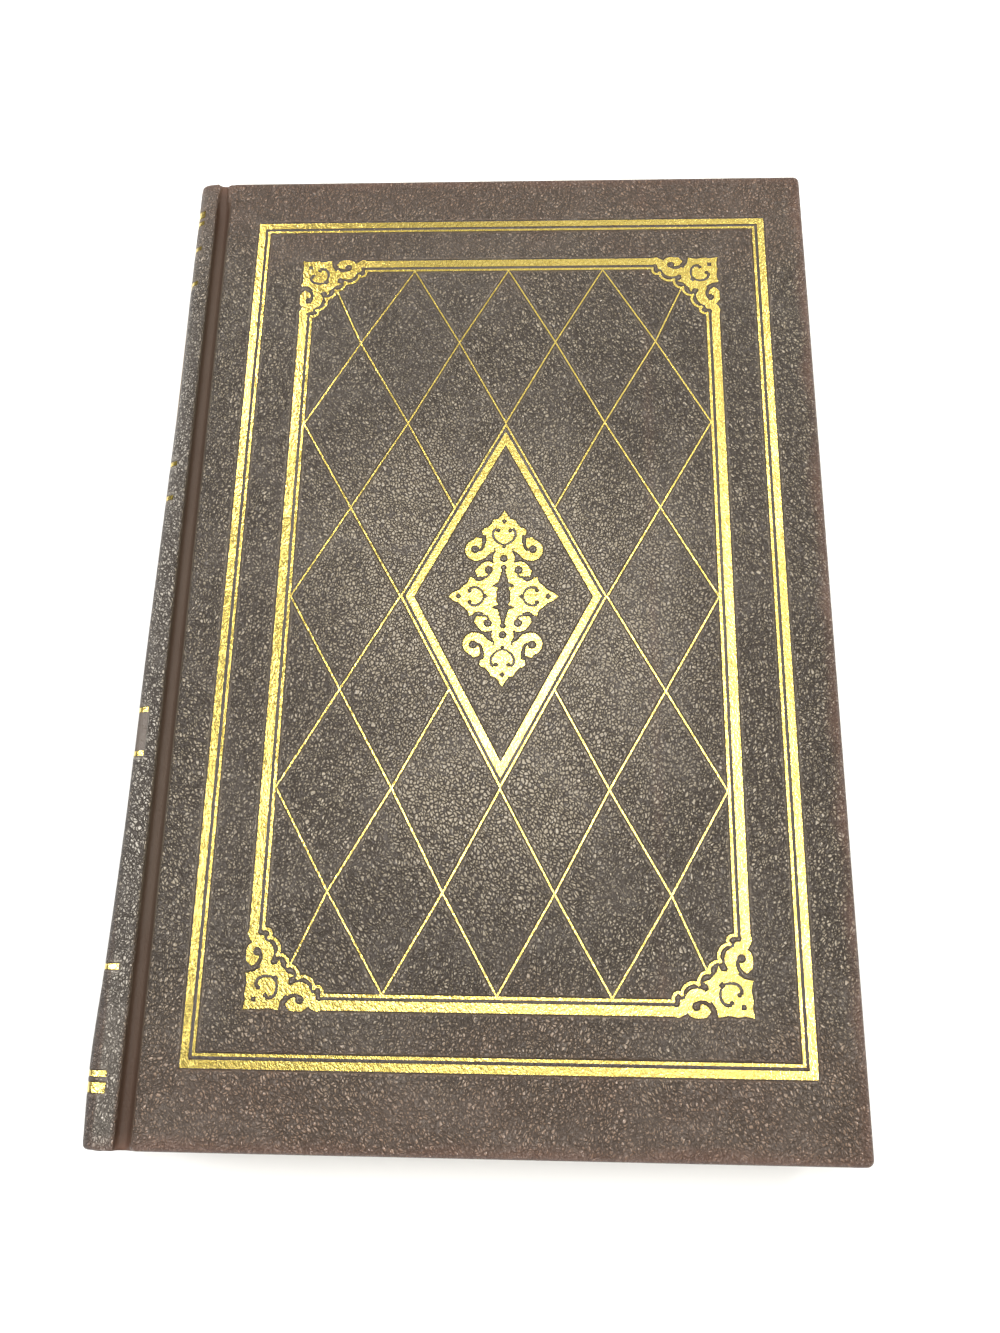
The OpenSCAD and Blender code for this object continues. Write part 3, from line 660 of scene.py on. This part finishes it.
sectionOuter, sectionInner = hingeSection()
outerNormal, innerNormal = outwards(sectionOuter), outwards(sectionInner)
outerX, outerZ = sectionOuter[:, 0], sectionOuter[:, 1]
leanWeight = smoothStep(-outerX, 72.6, 77.2) * (0.45 + 0.55 * smoothStep(outerZ, 25.0, 27.8))
pleatWeight = np.clip(1 - np.abs(outerX - (shoulderX + 0.15)) / 1.3, 0, 1)
grooveWeight = smoothStep(bookTop - outerZ, 0.0, 2.0) * smoothStep(outerX, -74.0, -72.0)


# the outer points at one place along the book
def outerAt(y):
    pleat = noise.noise(Vector((y * 0.55, 4.2, 0))) + 0.6 * noise.noise(Vector((y * 1.7, 8.2, 0)))
    x = outerX + smoothLean(y) * leanWeight + pleat * skin["pleat"] * pleatWeight
    rise = skin["headRise"] * float(smoothStep(y, 106, 117))
    rise += skin["tailRise"] * float(smoothStep(-y, 112, 117.5))
    z = outerZ + 0.35 * pleat * skin["pleat"] * pleatWeight + rise * grooveWeight
    return np.stack([x, z], axis=1)


capSteps = 5
quarter = np.radians(np.linspace(0, 90, capSteps + 1))


def addHinge(parts):
    def capRows(side, upper):
        y0 = side * halfY
        outer = outerAt(y0)
        thick = np.linalg.norm(outer - sectionInner, axis=1)
        radius = np.minimum(skin["coverRound" if upper else "lowRound"], 0.45 * thick)
        points, away = (outer, outerNormal) if upper else (sectionInner, -innerNormal)
        rows = []
        for a in quarter:
            p = points - away * (radius * (1 - math.cos(a)))[:, None]
            y = side * (halfY - radius + radius * math.sin(a))
            rows.append([(p[i][0], y[i], p[i][1]) for i in range(len(p))])
        return rows

    def middleRows(upper):
        rows = []
        for y in rowYs:
            points = outerAt(y) if upper else sectionInner
            row = []
            for i, (x, z) in enumerate(points):
                depth = spineDepth(x, y) if upper else 0.0
                row.append((x - outerNormal[i][0] * depth, y, z - outerNormal[i][1] * depth))
            rows.append(row)
        return rows

    top = capRows(-1, True)[::-1] + middleRows(True) + capRows(1, True)
    low = capRows(-1, False)[::-1] + middleRows(False) + capRows(1, False)
    parts.addGrid(top)
    parts.addGrid(low)
    parts.addGrid([top[0], low[0]])
    parts.addGrid([top[-1], low[-1]])
    parts.addGrid([[row[0] for row in top], [row[0] for row in low]])
    return [row[-1] for row in top], [row[-1] for row in low]


# round three sides of a cover: places on its outline and the way out from each
def ringPlaces():
    r = skin["cornerRound"]
    startX = hingeX + skin["start"]
    count = int((foreX - r - startX) / skin["step"])
    along = np.linspace(startX, foreX - r, count + 1)
    head = [(x, halfY, 0.0, 1.0) for x in along]
    for a in np.radians(np.linspace(90, 0, 9))[1:-1]:
        head.append((foreX - r + r * math.cos(a), halfY - r + r * math.sin(a), math.cos(a), math.sin(a)))
    down = [y for y in rowYs[::-1] if abs(y) < halfY - r - 0.3]
    fore = [(foreX, y, 1.0, 0.0) for y in [halfY - r] + down + [r - halfY]]
    tail = [(x, -y, outX, -outY) for x, y, outX, outY in head[::-1]]
    return head + fore + tail


def addRing(parts):
    r, r2 = skin["coverRound"], skin["lowRound"]
    low = coverLow[2]
    profile = [(r * (1 - math.sin(a)), bookTop - r * (1 - math.cos(a))) for a in quarter]
    profile += [(r2 * (1 - math.cos(a)), low + r2 * (1 - math.sin(a))) for a in quarter]
    rows = []
    for x, y, nx, ny in ringPlaces():
        rows.append([(x - nx * d, y - ny * d, z) for d, z in profile])
    parts.addGrid(rows)
    return [row[0] for row in rows], [row[-1] for row in rows]


# outlines of everything pressed into the front cover, from the CAD leather's flat top
def toolingEdges():
    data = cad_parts["front_leather"].data
    at = np.array([v.co for v in data.vertices]) / mm
    numbers = {}
    index = [numbers.setdefault((round(p[0], 3), round(p[1], 3)), len(numbers)) for p in at]
    places = list(numbers)
    once = {}
    for face in data.polygons:
        if min(at[i][2] for i in face.vertices) < bookTop - 0.001:
            continue
        ring = [index[i] for i in face.vertices]
        for a, b in zip(ring, ring[1:] + ring[:1]):
            if a != b and not once.pop((b, a), False):
                once[(a, b)] = True
    limitX, limitY = foreX - 2.5, halfY - 2.5
    kept = [(a, b) for a, b in once if abs(places[a][1]) < limitY and hingeX + 2.5 < places[a][0] < limitX]
    return np.array(places), kept


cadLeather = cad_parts["front_leather"].data
cadShape = BVHTree.FromPolygons([v.co / mm for v in cadLeather.vertices],
                                [tuple(f.vertices) for f in cadLeather.polygons])


def onLeather(p):
    hit = cadShape.ray_cast(Vector((p[0], p[1], bookTop + 2)), Vector((0, 0, -1)))[0]
    return hit is not None and hit.z > bookTop - 0.05


def denseSamples(points, edges, spacing):
    out = []
    for a, b in edges:
        p, q = points[a], points[b]
        count = max(1, int(np.linalg.norm(q - p) / spacing))
        for k in range(count):
            out.append(p + (q - p) * (k / count))
    tree = kdtree.KDTree(len(out))
    for i, p in enumerate(out):
        tree.insert((p[0], p[1], 0), i)
    tree.balance()
    return tree


def offsetPoints(points, edges, tree, distance):
    coming, going = {}, {}
    for a, b in edges:
        d = points[b] - points[a]
        d = d / np.linalg.norm(d)
        left = np.array([-d[1], d[0]])
        going.setdefault(a, []).append(left)
        coming.setdefault(b, []).append(left)
    out = []
    for i in going:
        sides = going[i] + coming.get(i, [])
        total = sum(sides) / len(sides)
        size = np.linalg.norm(total)
        if size < 0.35:
            continue
        p = points[i] + total / size * min(distance / size, distance * 1.6)
        if tree.find((p[0], p[1], 0))[2] > 0.85 * distance:
            out.append(p)
    return out


def thinned(points, gap):
    out = []
    cells = {}
    for p in points:
        cx, cy = int(p[0] // gap), int(p[1] // gap)
        near = [q for dx in (-1, 0, 1) for dy in (-1, 0, 1) for q in cells.get((cx + dx, cy + dy), ())]
        if all((q[0] - p[0]) ** 2 + (q[1] - p[1]) ** 2 >= gap * gap for q in near):
            out.append(p)
            cells.setdefault((cx, cy), []).append(p)
    return out


def splitEdges(points, edges, longest):
    points = [np.array(p, float) for p in points]
    out = []
    for a, b in edges:
        p, q = points[a], points[b]
        count = max(1, math.ceil(np.linalg.norm(q - p) / longest))
        chain = [a]
        for k in range(1, count):
            chain.append(len(points))
            points.append(p + (q - p) * (k / count))
        chain.append(b)
        out.extend(zip(chain, chain[1:]))
    return np.array(points), out


def hexPoints(low, high, spacing, seed, jitter):
    rng = random.Random(seed)
    out = []
    row = 0
    y = low[1] + spacing * 0.6
    while y < high[1] - spacing * 0.4:
        x = low[0] + spacing * (0.6 + 0.5 * (row % 2))
        while x < high[0] - spacing * 0.4:
            out.append((x + rng.uniform(-jitter, jitter), y + rng.uniform(-jitter, jitter)))
            x += spacing
        y += spacing * 0.866
        row += 1
    return out


# points of a cover's flat face round the tooling, in millimetres
facePoints = {
    "longest": 1.6,                 # stretch of the tooling's outline between two points
    "sample": 0.07,
    "offsets": (0.14, 0.4, 0.9),    # rows of points beside the outline
    "rowGap": 0.12,
    "gap": 0.1,
    "clear": 0.75,                  # the plain points keep this far from it
    "plainInsets": (0.8, 2.4),      # rows of points along the edges of a cover with no tooling
    "plainClear": 3.2,
}


# the flat face of a cover, pressed down along the tooling where there is any
def addFace(parts, border, spacing, tooling, ripple):
    s = facePoints
    places = [(p[0], p[1]) for p in border]
    edges = [(i, (i + 1) % len(border)) for i in range(len(border))]
    low = np.min(np.array(places), axis=0)
    high = np.max(np.array(places), axis=0)
    grid = hexPoints(low, high, spacing, 7, spacing * 0.22)
    tree = None
    if tooling:
        points, lines = splitEdges(*tooling, s["longest"])
        tree = denseSamples(points, lines, s["sample"])
        used = sorted(set(i for e in lines for i in e))
        place = {old: len(places) + k for k, old in enumerate(used)}
        free = []
        for distance in s["offsets"]:
            free += thinned(offsetPoints(points, lines, tree, distance), s["rowGap"])
        free = thinned([p for p in free if onLeather(p)], s["gap"])
        grid = [p for p in grid if tree.find((p[0], p[1], 0))[2] > s["clear"] and onLeather(p)]
        places += [tuple(points[i]) for i in used] + [tuple(p) for p in free]
        edges += [(place[a], place[b]) for a, b in lines]
    else:
        for inset in s["plainInsets"]:
            scaleX = 1 - 2 * inset / (high[0] - low[0])
            scaleY = 1 - 2 * inset / (high[1] - low[1])
            middle = (low + high) / 2
            places += [((x - middle[0]) * scaleX + middle[0], (y - middle[1]) * scaleY + middle[1])
                       for x, y in places[:len(border)]]
        grid = [p for p in grid
                if min(p[0] - low[0], high[0] - p[0], p[1] - low[1], high[1] - p[1]) > s["plainClear"]]
    places += grid
    print("face points", len(places), "lines", len(edges))
    made = geometry.delaunay_2d_cdt([Vector(p) for p in places], edges, [], 0, 1e-5)
    points, faces = made[0], made[2]
    out = []
    for p in points:
        x, y = p[0], p[1]
        inset = min(x - low[0], high[0] - x, y - low[1], high[1] - y)
        z = bookTop
        away = 9.0
        if tree:
            away = tree.find((x, y, 0))[2]
            z = bookTop - skin["lip"] * math.exp(-(away / skin["lipWidth"]) ** 1.2)
        if ripple:
            wave = noise.fractal(Vector((x * 0.05, y * 0.05, 3.1)), 0.6, 2.1, 4)
            fade = min(1, max(0, (inset - 0.4) / 3)) * min(1, max(0, (away - 0.3) / 1.5))
            z -= ripple * min(1, max(0, 0.5 + wave)) * fade
        out.append((x, y, z))
    parts.add(out, [list(f) for f in faces])
    return tree


def addCoverBody(parts, spacing, tooling, ripple):
    hingeTop, hingeLow = addHinge(parts)
    ringTop, ringLow = addRing(parts)
    # the flat part of the hinge's last line; its rounded ends belong to the ring
    lineTop = [p for p in hingeTop if abs(p[2] - bookTop) < 1e-6]
    lineLow = [p for p in hingeLow if abs(p[2] - coverLow[2]) < 1e-6]
    border = ringTop + lineTop[1:-1]
    tree = addFace(parts, border, spacing, tooling, ripple)
    floorRing = ringLow + lineLow[1:-1]
    parts.add(floorRing, [list(range(len(floorRing)))])
    return tree


# masks on the leather, in millimetres
masks = {
    "grooveSmooth": 0.95,
    "panelSmooth": 0.85,
    "press": 0.4,               # reach of the smooth leather beside gold, in the pressed colour with its painted shade
    "pressSmooth": 0.8,
    "lip": 0.24,                # reach of the painted shade beside gold
    "lipShade": 0.85,
    "rollOff": (76.4, 77.6),    # painted shade darkens the spine's rounded edge between these
    "rollOffShade": 0.55,
    "strip": (-77.2, -76.2),    # the painted highlight on the flat of the shoulder starts between these
    "stripFade": (40, 90),      # and fades towards the head between these
    "rubEdge": (0.2, 3.2),      # from a cover's edges
    "corner": 9.0,
    "cornerRub": (6.5, 12.5),
    "spineRub": 0.35,
    "border": (72, 116),        # from the field's tone to that of head and tail
}


def paintSkin(piece, tree, front):
    s = masks
    mesh = piece.data
    at = np.array([v.co for v in mesh.vertices])
    rest = mesh.attributes.new("restPlace", "FLOAT_VECTOR", "POINT")
    shifted = at + np.array(grainLook["frontShift" if front else "backShift"]) * mm
    rest.data.foreach_set("vector", shifted.astype(np.float32).ravel())
    p = at / mm
    z = p[:, 2] if front else bookTop - p[:, 2]
    x, y = p[:, 0], p[:, 1]
    rng = np.array([noise.noise(Vector(a * 0.09)) for a in p])
    # the groove, smooth and in the pressed colour with its painted shade
    groove = smoothStep(x, shoulderX - 0.3, shoulderX + 0.5)
    groove *= 1 - smoothStep(x, hingeX - 0.6, hingeX + 0.9)
    groove *= smoothStep(bookTop - z, 0.15, 0.9)
    smooth = groove * s["grooveSmooth"]
    lip = np.zeros(len(p))
    if tree:
        top = np.where((z > bookTop - 0.4) & (x > hingeX))[0]
        away = np.full(len(p), 9.0)
        for i in top:
            away[i] = tree.find((p[i][0], p[i][1], 0))[2]
        smooth = np.maximum(smooth, np.exp(-(away / s["press"]) ** 2) * s["pressSmooth"])
        # painted shade in a thin line beside the gold
        lip = np.exp(-(away / s["lip"]) ** 2) * s["lipShade"]
    # painted shade on the spine's rounded edge
    lip = np.maximum(lip, s["rollOffShade"] * smoothStep(-x, *s["rollOff"]))
    onSpine = x < ruleEndX + 0.2
    beside = np.array([min(max(a - v, v - b, 0) for a, b in rules) for v in y])
    smooth = np.maximum(smooth, onSpine * np.exp(-(beside / s["press"]) ** 2) * s["pressSmooth"])
    smooth = np.maximum(smooth, onSpine * (y > panel[0]) * (y < panel[1]) * s["panelSmooth"])
    edge = np.minimum(np.minimum(foreX - x, halfY - np.abs(y)), 40)
    rub = 1 - smoothStep(edge + rng * 2.2, *s["rubEdge"])
    corner = np.hypot(np.maximum(0, x - foreX + s["corner"]), np.maximum(0, np.abs(y) - halfY + s["corner"]))
    rub = np.maximum(rub, smoothStep(corner + rng * 2, *s["cornerRub"]))
    offArc = np.abs(np.hypot(x - backCenter[0], z - midZ) - skin["backRadius"])
    rub = np.maximum(rub, s["spineRub"] * (1 - smoothStep(offArc, 0.3, 1.2)) * (0.6 + rng))
    border = smoothStep(np.abs(y) + rng * 14, *s["border"])
    # painted highlight on the shoulder's flat, fading towards the head
    paintedGlare = smoothStep(x, *s["strip"]) * (1 - smoothStep(x, shoulderX - 0.6, shoulderX)) * (z > midZ)
    paintedGlare *= 1 - 0.8 * smoothStep(y + rng * 12, *s["stripFade"])
    for name, values in zip(layerNames, (smooth, rub, lip, border, paintedGlare)):
        layer = mesh.attributes.new(name, "FLOAT", "POINT")
        layer.data.foreach_set("value", np.clip(values, 0, 1).astype(np.float32))
    mesh.materials.append(pressedLeather)
    inGroove = groove > 0.5
    for face in mesh.polygons:
        face.material_index = int(all(inGroove[i] for i in face.vertices))


def flipBook(parts):
    parts.points = [(x, y, bookTop - z) for x, y, z in parts.points]


frontParts = MeshParts()
frontTree = addCoverBody(frontParts, skin["frontSpacing"], toolingEdges(), skin["ripple"])
frontSkin = frontParts.build("frontSkin", leather, 62)
paintSkin(frontSkin, frontTree, True)
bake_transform(frontSkin)
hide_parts("front_leather", "front_joint_leather", "spine_leather")

backParts = MeshParts()
addCoverBody(backParts, skin["backSpacing"], None, 0)
flipBook(backParts)
backSkin = backParts.build("backSkin", leather, 62)
paintSkin(backSkin, None, False)
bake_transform(backSkin)
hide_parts("back_leather", "back_joint_leather", "spine_leather")
print("skins made")


# gold rules across the spine, lying in the leather's pressed lines
def makeSpineRules():
    parts = MeshParts()
    for low, high in rules:
        strips = []
        for y in (low, (low + high) / 2, high):
            points = outerAt(y)
            used = points[:, 0] < ruleEndX
            last = int(np.argmax(~used))
            k = (ruleEndX - points[last - 1][0]) / (points[last][0] - points[last - 1][0])
            end = points[last - 1] + (points[last] - points[last - 1]) * k
            chain = np.concatenate([points[:last], [end]])
            away = outerNormal[:last + 1]
            rows = []
            for depth in rulePress["goldDepths"]:
                half = chain - away * depth
                whole = np.concatenate([np.stack([half[::-1, 0], bookTop - half[::-1, 1]], axis=1), half[1:]])
                rows.append([(x, y, z) for x, z in whole])
            strips.append(rows)
        parts.addGrid([rows[0] for rows in strips])
        parts.addGrid([rows[1] for rows in strips])
        for rows in (strips[0], strips[-1]):
            parts.addGrid(rows)
        for k in (0, -1):
            parts.addGrid([[rows[0][k] for rows in strips], [rows[1][k] for rows in strips]])
    piece = parts.build("spineRules", gold, 40)
    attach(piece, "block")
    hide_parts("spine_rules")


makeSpineRules()


# endpapers where they cross the joint, from the flyleaf to the pastedown
hingePaper = {
    "thick": 0.12,
    "steps": 26,
    "lap": 0.3,         # over the flyleaf, and over the pastedown
    "short": 0.2,       # at head and tail
}


def makeHingePaper(name, top):
    flyLow, flyHigh = boxMm("front_flyleaf")
    pasteLow = boxMm("front_pastedown")[0]
    startX, endX = flyLow[0] + hingePaper["lap"], pasteLow[0] + hingePaper["lap"]
    half = hingePaper["thick"] / 2
    startZ, endZ = flyHigh[2] - half, pasteLow[2] + half
    line = curvePoints((startX, startZ), (startX + 1.2, startZ), (endX - 1.6, endZ), (endX, endZ),
                       hingePaper["steps"])
    ends = (flyLow[1] + hingePaper["short"], flyHigh[1] - hingePaper["short"])
    parts = MeshParts()
    upper = [[(x, y, z + half) for x, z in line] for y in ends]
    lower = [[(x, y, z - half) for x, z in line] for y in ends]
    parts.addGrid(upper)
    parts.addGrid(lower)
    for k in (0, 1):
        parts.addGrid([upper[k], lower[k]])
    for k in (0, -1):
        parts.addGrid([[row[k] for row in upper], [row[k] for row in lower]])
    if not top:
        flipBook(parts)
    piece = parts.build(name, endPaper, 50)
    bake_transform(piece)


makeHingePaper("frontHingePaper", True)
makeHingePaper("backHingePaper", False)


# pages: one closed body whose edges show the leaves
leaves = {
    "count": 72,
    "rows": (0.2, 0.85),    # heights in a leaf between which its edge stands out
    "least": 0.02,
    "uneven": 0.10,
    "short": (0.12, 0.06),  # how much shorter a few leaves are, and their share
    "groove": 0.09,         # depth between leaves
    "section": (6, 0.08),   # leaves in one sewn section, and the extra depth between sections
    "wave": 0.05,
    "backRadius": 57.2,
    "foreSag": 1.0,
    "shoulderIn": 73.35,
    "stepIn": 71.45,
    "shoulderHalf": 13.2,
    "turnUp": 11.93,        # from this height above the middle, the back rounds over to the shoulder
    "turnMiddle": (-73.63, 11.6),
    "turnRadius": 1.6,
}


def makePages(s):
    rng = random.Random(11)
    high = boxMm("text_block")[1]
    bottom = boxMm("back_flyleaf")[1][2]
    top = boxMm("front_flyleaf")[0][2]
    half = (top - bottom) / 2
    sagRadius = (half * half + s["foreSag"] ** 2) / (2 * s["foreSag"])

    def backX(z):
        up = abs(z - midZ)
        if up > s["turnUp"]:
            x, middle = s["turnMiddle"]
            return x - math.sqrt(max(0, s["turnRadius"] ** 2 - (up - middle) ** 2))
        return backCenter[0] - math.sqrt(s["backRadius"] ** 2 - up * up)

    def foreXAt(z):
        up = min(half, abs(z - midZ))
        return high[0] - s["foreSag"] + sagRadius - math.sqrt(max(0, sagRadius ** 2 - up * up))

    def ring(z, inset, toX=None, wave=0.0, seed=0.0):
        fore = foreXAt(z) if toX is None else toX
        back = backX(z)
        front = high[1] - inset
        points = []
        xs = np.linspace(back, fore - (inset if toX is None else 0), 26)
        ys = np.linspace(front, -front, 30)

        def shift(a, b):
            return wave * noise.noise(Vector((a * 0.06, b * 0.06, seed)))

        for x in xs:
            points.append((x, front - abs(shift(x, 40)), z))
        for y in ys[1:-1]:
            points.append((xs[-1] - abs(shift(y, 90)), y, z))
        for x in xs[::-1]:
            points.append((x, -front + abs(shift(x, -40)), z))
        for y in ys[::-1][1:-1]:
            points.append((back, y, z))
        return points

    rings = []
    shoulderZs = np.linspace(s["shoulderHalf"], half, 7)

    def shoulderX(up):
        return -s["stepIn"] - (up - half) / (s["shoulderHalf"] - half) * (s["shoulderIn"] - s["stepIn"])

    for up in shoulderZs:
        rings.append(ring(midZ - up, s["least"], shoulderX(up)))
    step = (top - bottom) / s["count"]
    insets = []
    shorter, share = s["short"]
    for i in range(s["count"]):
        insets.append(rng.uniform(s["least"], s["uneven"]) + (shorter if rng.random() < share else 0))
    for i, inset in enumerate(insets):
        z = bottom + i * step
        deep = max(inset, insets[i - 1] if i else inset) + s["groove"]
        if i % s["section"][0] == 0:
            deep += s["section"][1]
        for up, back in [(0.0, deep if i else 0.0)] + [(up, inset) for up in s["rows"]]:
            rings.append(ring(z + step * up, back, None, s["wave"], i * 0.37))
    rings.append(ring(top, 0.0))
    for up in shoulderZs[::-1]:
        rings.append(ring(midZ + up, s["least"], shoulderX(up)))
    parts = MeshParts()
    parts.addTube(rings)
    piece = parts.build("pages", leafPaper, 50)
    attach(piece, "block")
    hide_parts("text_block")


makePages(leaves)


# head and tail bands: thread wound round a cord
band = {
    "radius": 0.98,
    "thread": 0.62,     # width of one turn of thread
    "turnSteps": 6,
    "around": 14,       # points round the cord
    "ridge": 0.09,
    "arcRadius": 56.2,
}


def makeBand(name, node):
    low, high = boxMm(node)
    y = (low[1] + high[1]) / 2
    halfAngle = math.asin((high[2] - low[2]) / 2 / band["arcRadius"])
    length = 2 * halfAngle * band["arcRadius"]
    count = int(length / (band["thread"] / band["turnSteps"]))
    around = band["around"]
    rows = []
    for k in range(count + 1):
        t = k / count
        angle = math.pi - halfAngle + 2 * halfAngle * t
        out = (math.cos(angle), math.sin(angle))
        center = (backCenter[0] + band["arcRadius"] * out[0], midZ + band["arcRadius"] * out[1])
        row = []
        for m in range(around):
            f = 2 * math.pi * m / around
            turn = 2 * math.pi * (t * length / band["thread"]) + f
            r = band["radius"] - band["ridge"] * (1 - abs(math.sin(turn / 2)) ** 0.7)
            across = r * math.cos(f)
            row.append((center[0] + out[0] * across, y + r * math.sin(f), center[1] + out[1] * across))
        rows.append(row)
    parts = MeshParts()
    parts.addTube(rows)
    piece = parts.build(name, thread)
    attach(piece, "block")
    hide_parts(node)


makeBand("headBand", "head_band")
makeBand("tailBand", "tail_band")
print("pages and bands made")


# CAD pieces that are shown as they are
def giveMaterial(names, material):
    for name in names:
        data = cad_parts[name].data
        data.materials.clear()
        data.materials.append(material)


giveMaterial(["outer_frame", "inner_frame", "lattice", "lozenge", "arabesque"], gold)
giveMaterial(["front_flyleaf", "back_flyleaf", "front_pastedown", "back_pastedown"], endPaper)
giveMaterial(["front_board", "back_board", "spine_stiffener"], pasteboard)
giveMaterial(["spine_lining"], cloth)


# floor; away from the lamps it glows a little, so that it stays as pale as the background
floorLook = {
    "size": 4.0,            # half its width, in metres
    "color": (0.86, 0.86, 0.86),
    "glow": (0.9, 0.9, 0.9),
    "glowFrom": 0.5,        # metres from the book's middle
    "glowFull": 1.6,
}


def makeFloor(s):
    data = bpy.data.meshes.new("floor")
    size = s["size"]
    corners = [(-size, -size, 0), (size, -size, 0), (size, size, 0), (-size, size, 0)]
    data.from_pydata(corners, [], [(0, 1, 2, 3)])
    floor = bpy.data.objects.new("floor", data)
    floor.location.z = -0.0002
    bpy.context.scene.collection.objects.link(floor)
    material, tree, shader = newMaterial("floorPaper", 0.9, specular=0.1)
    place = addNode(tree, "ShaderNodeTexCoord").outputs["Object"]
    away = rangeNode(tree, vectorNode(tree, "LENGTH", place, output="Value"), s["glowFrom"], s["glowFull"])
    glow = mixColor(tree, away, (0, 0, 0), s["glow"])
    setInputs(tree, shader, {"Base Color": s["color"], "Emission Color": glow, "Emission Strength": 1.0})
    data.materials.append(material)


makeFloor(floorLook)
print("scene ready")
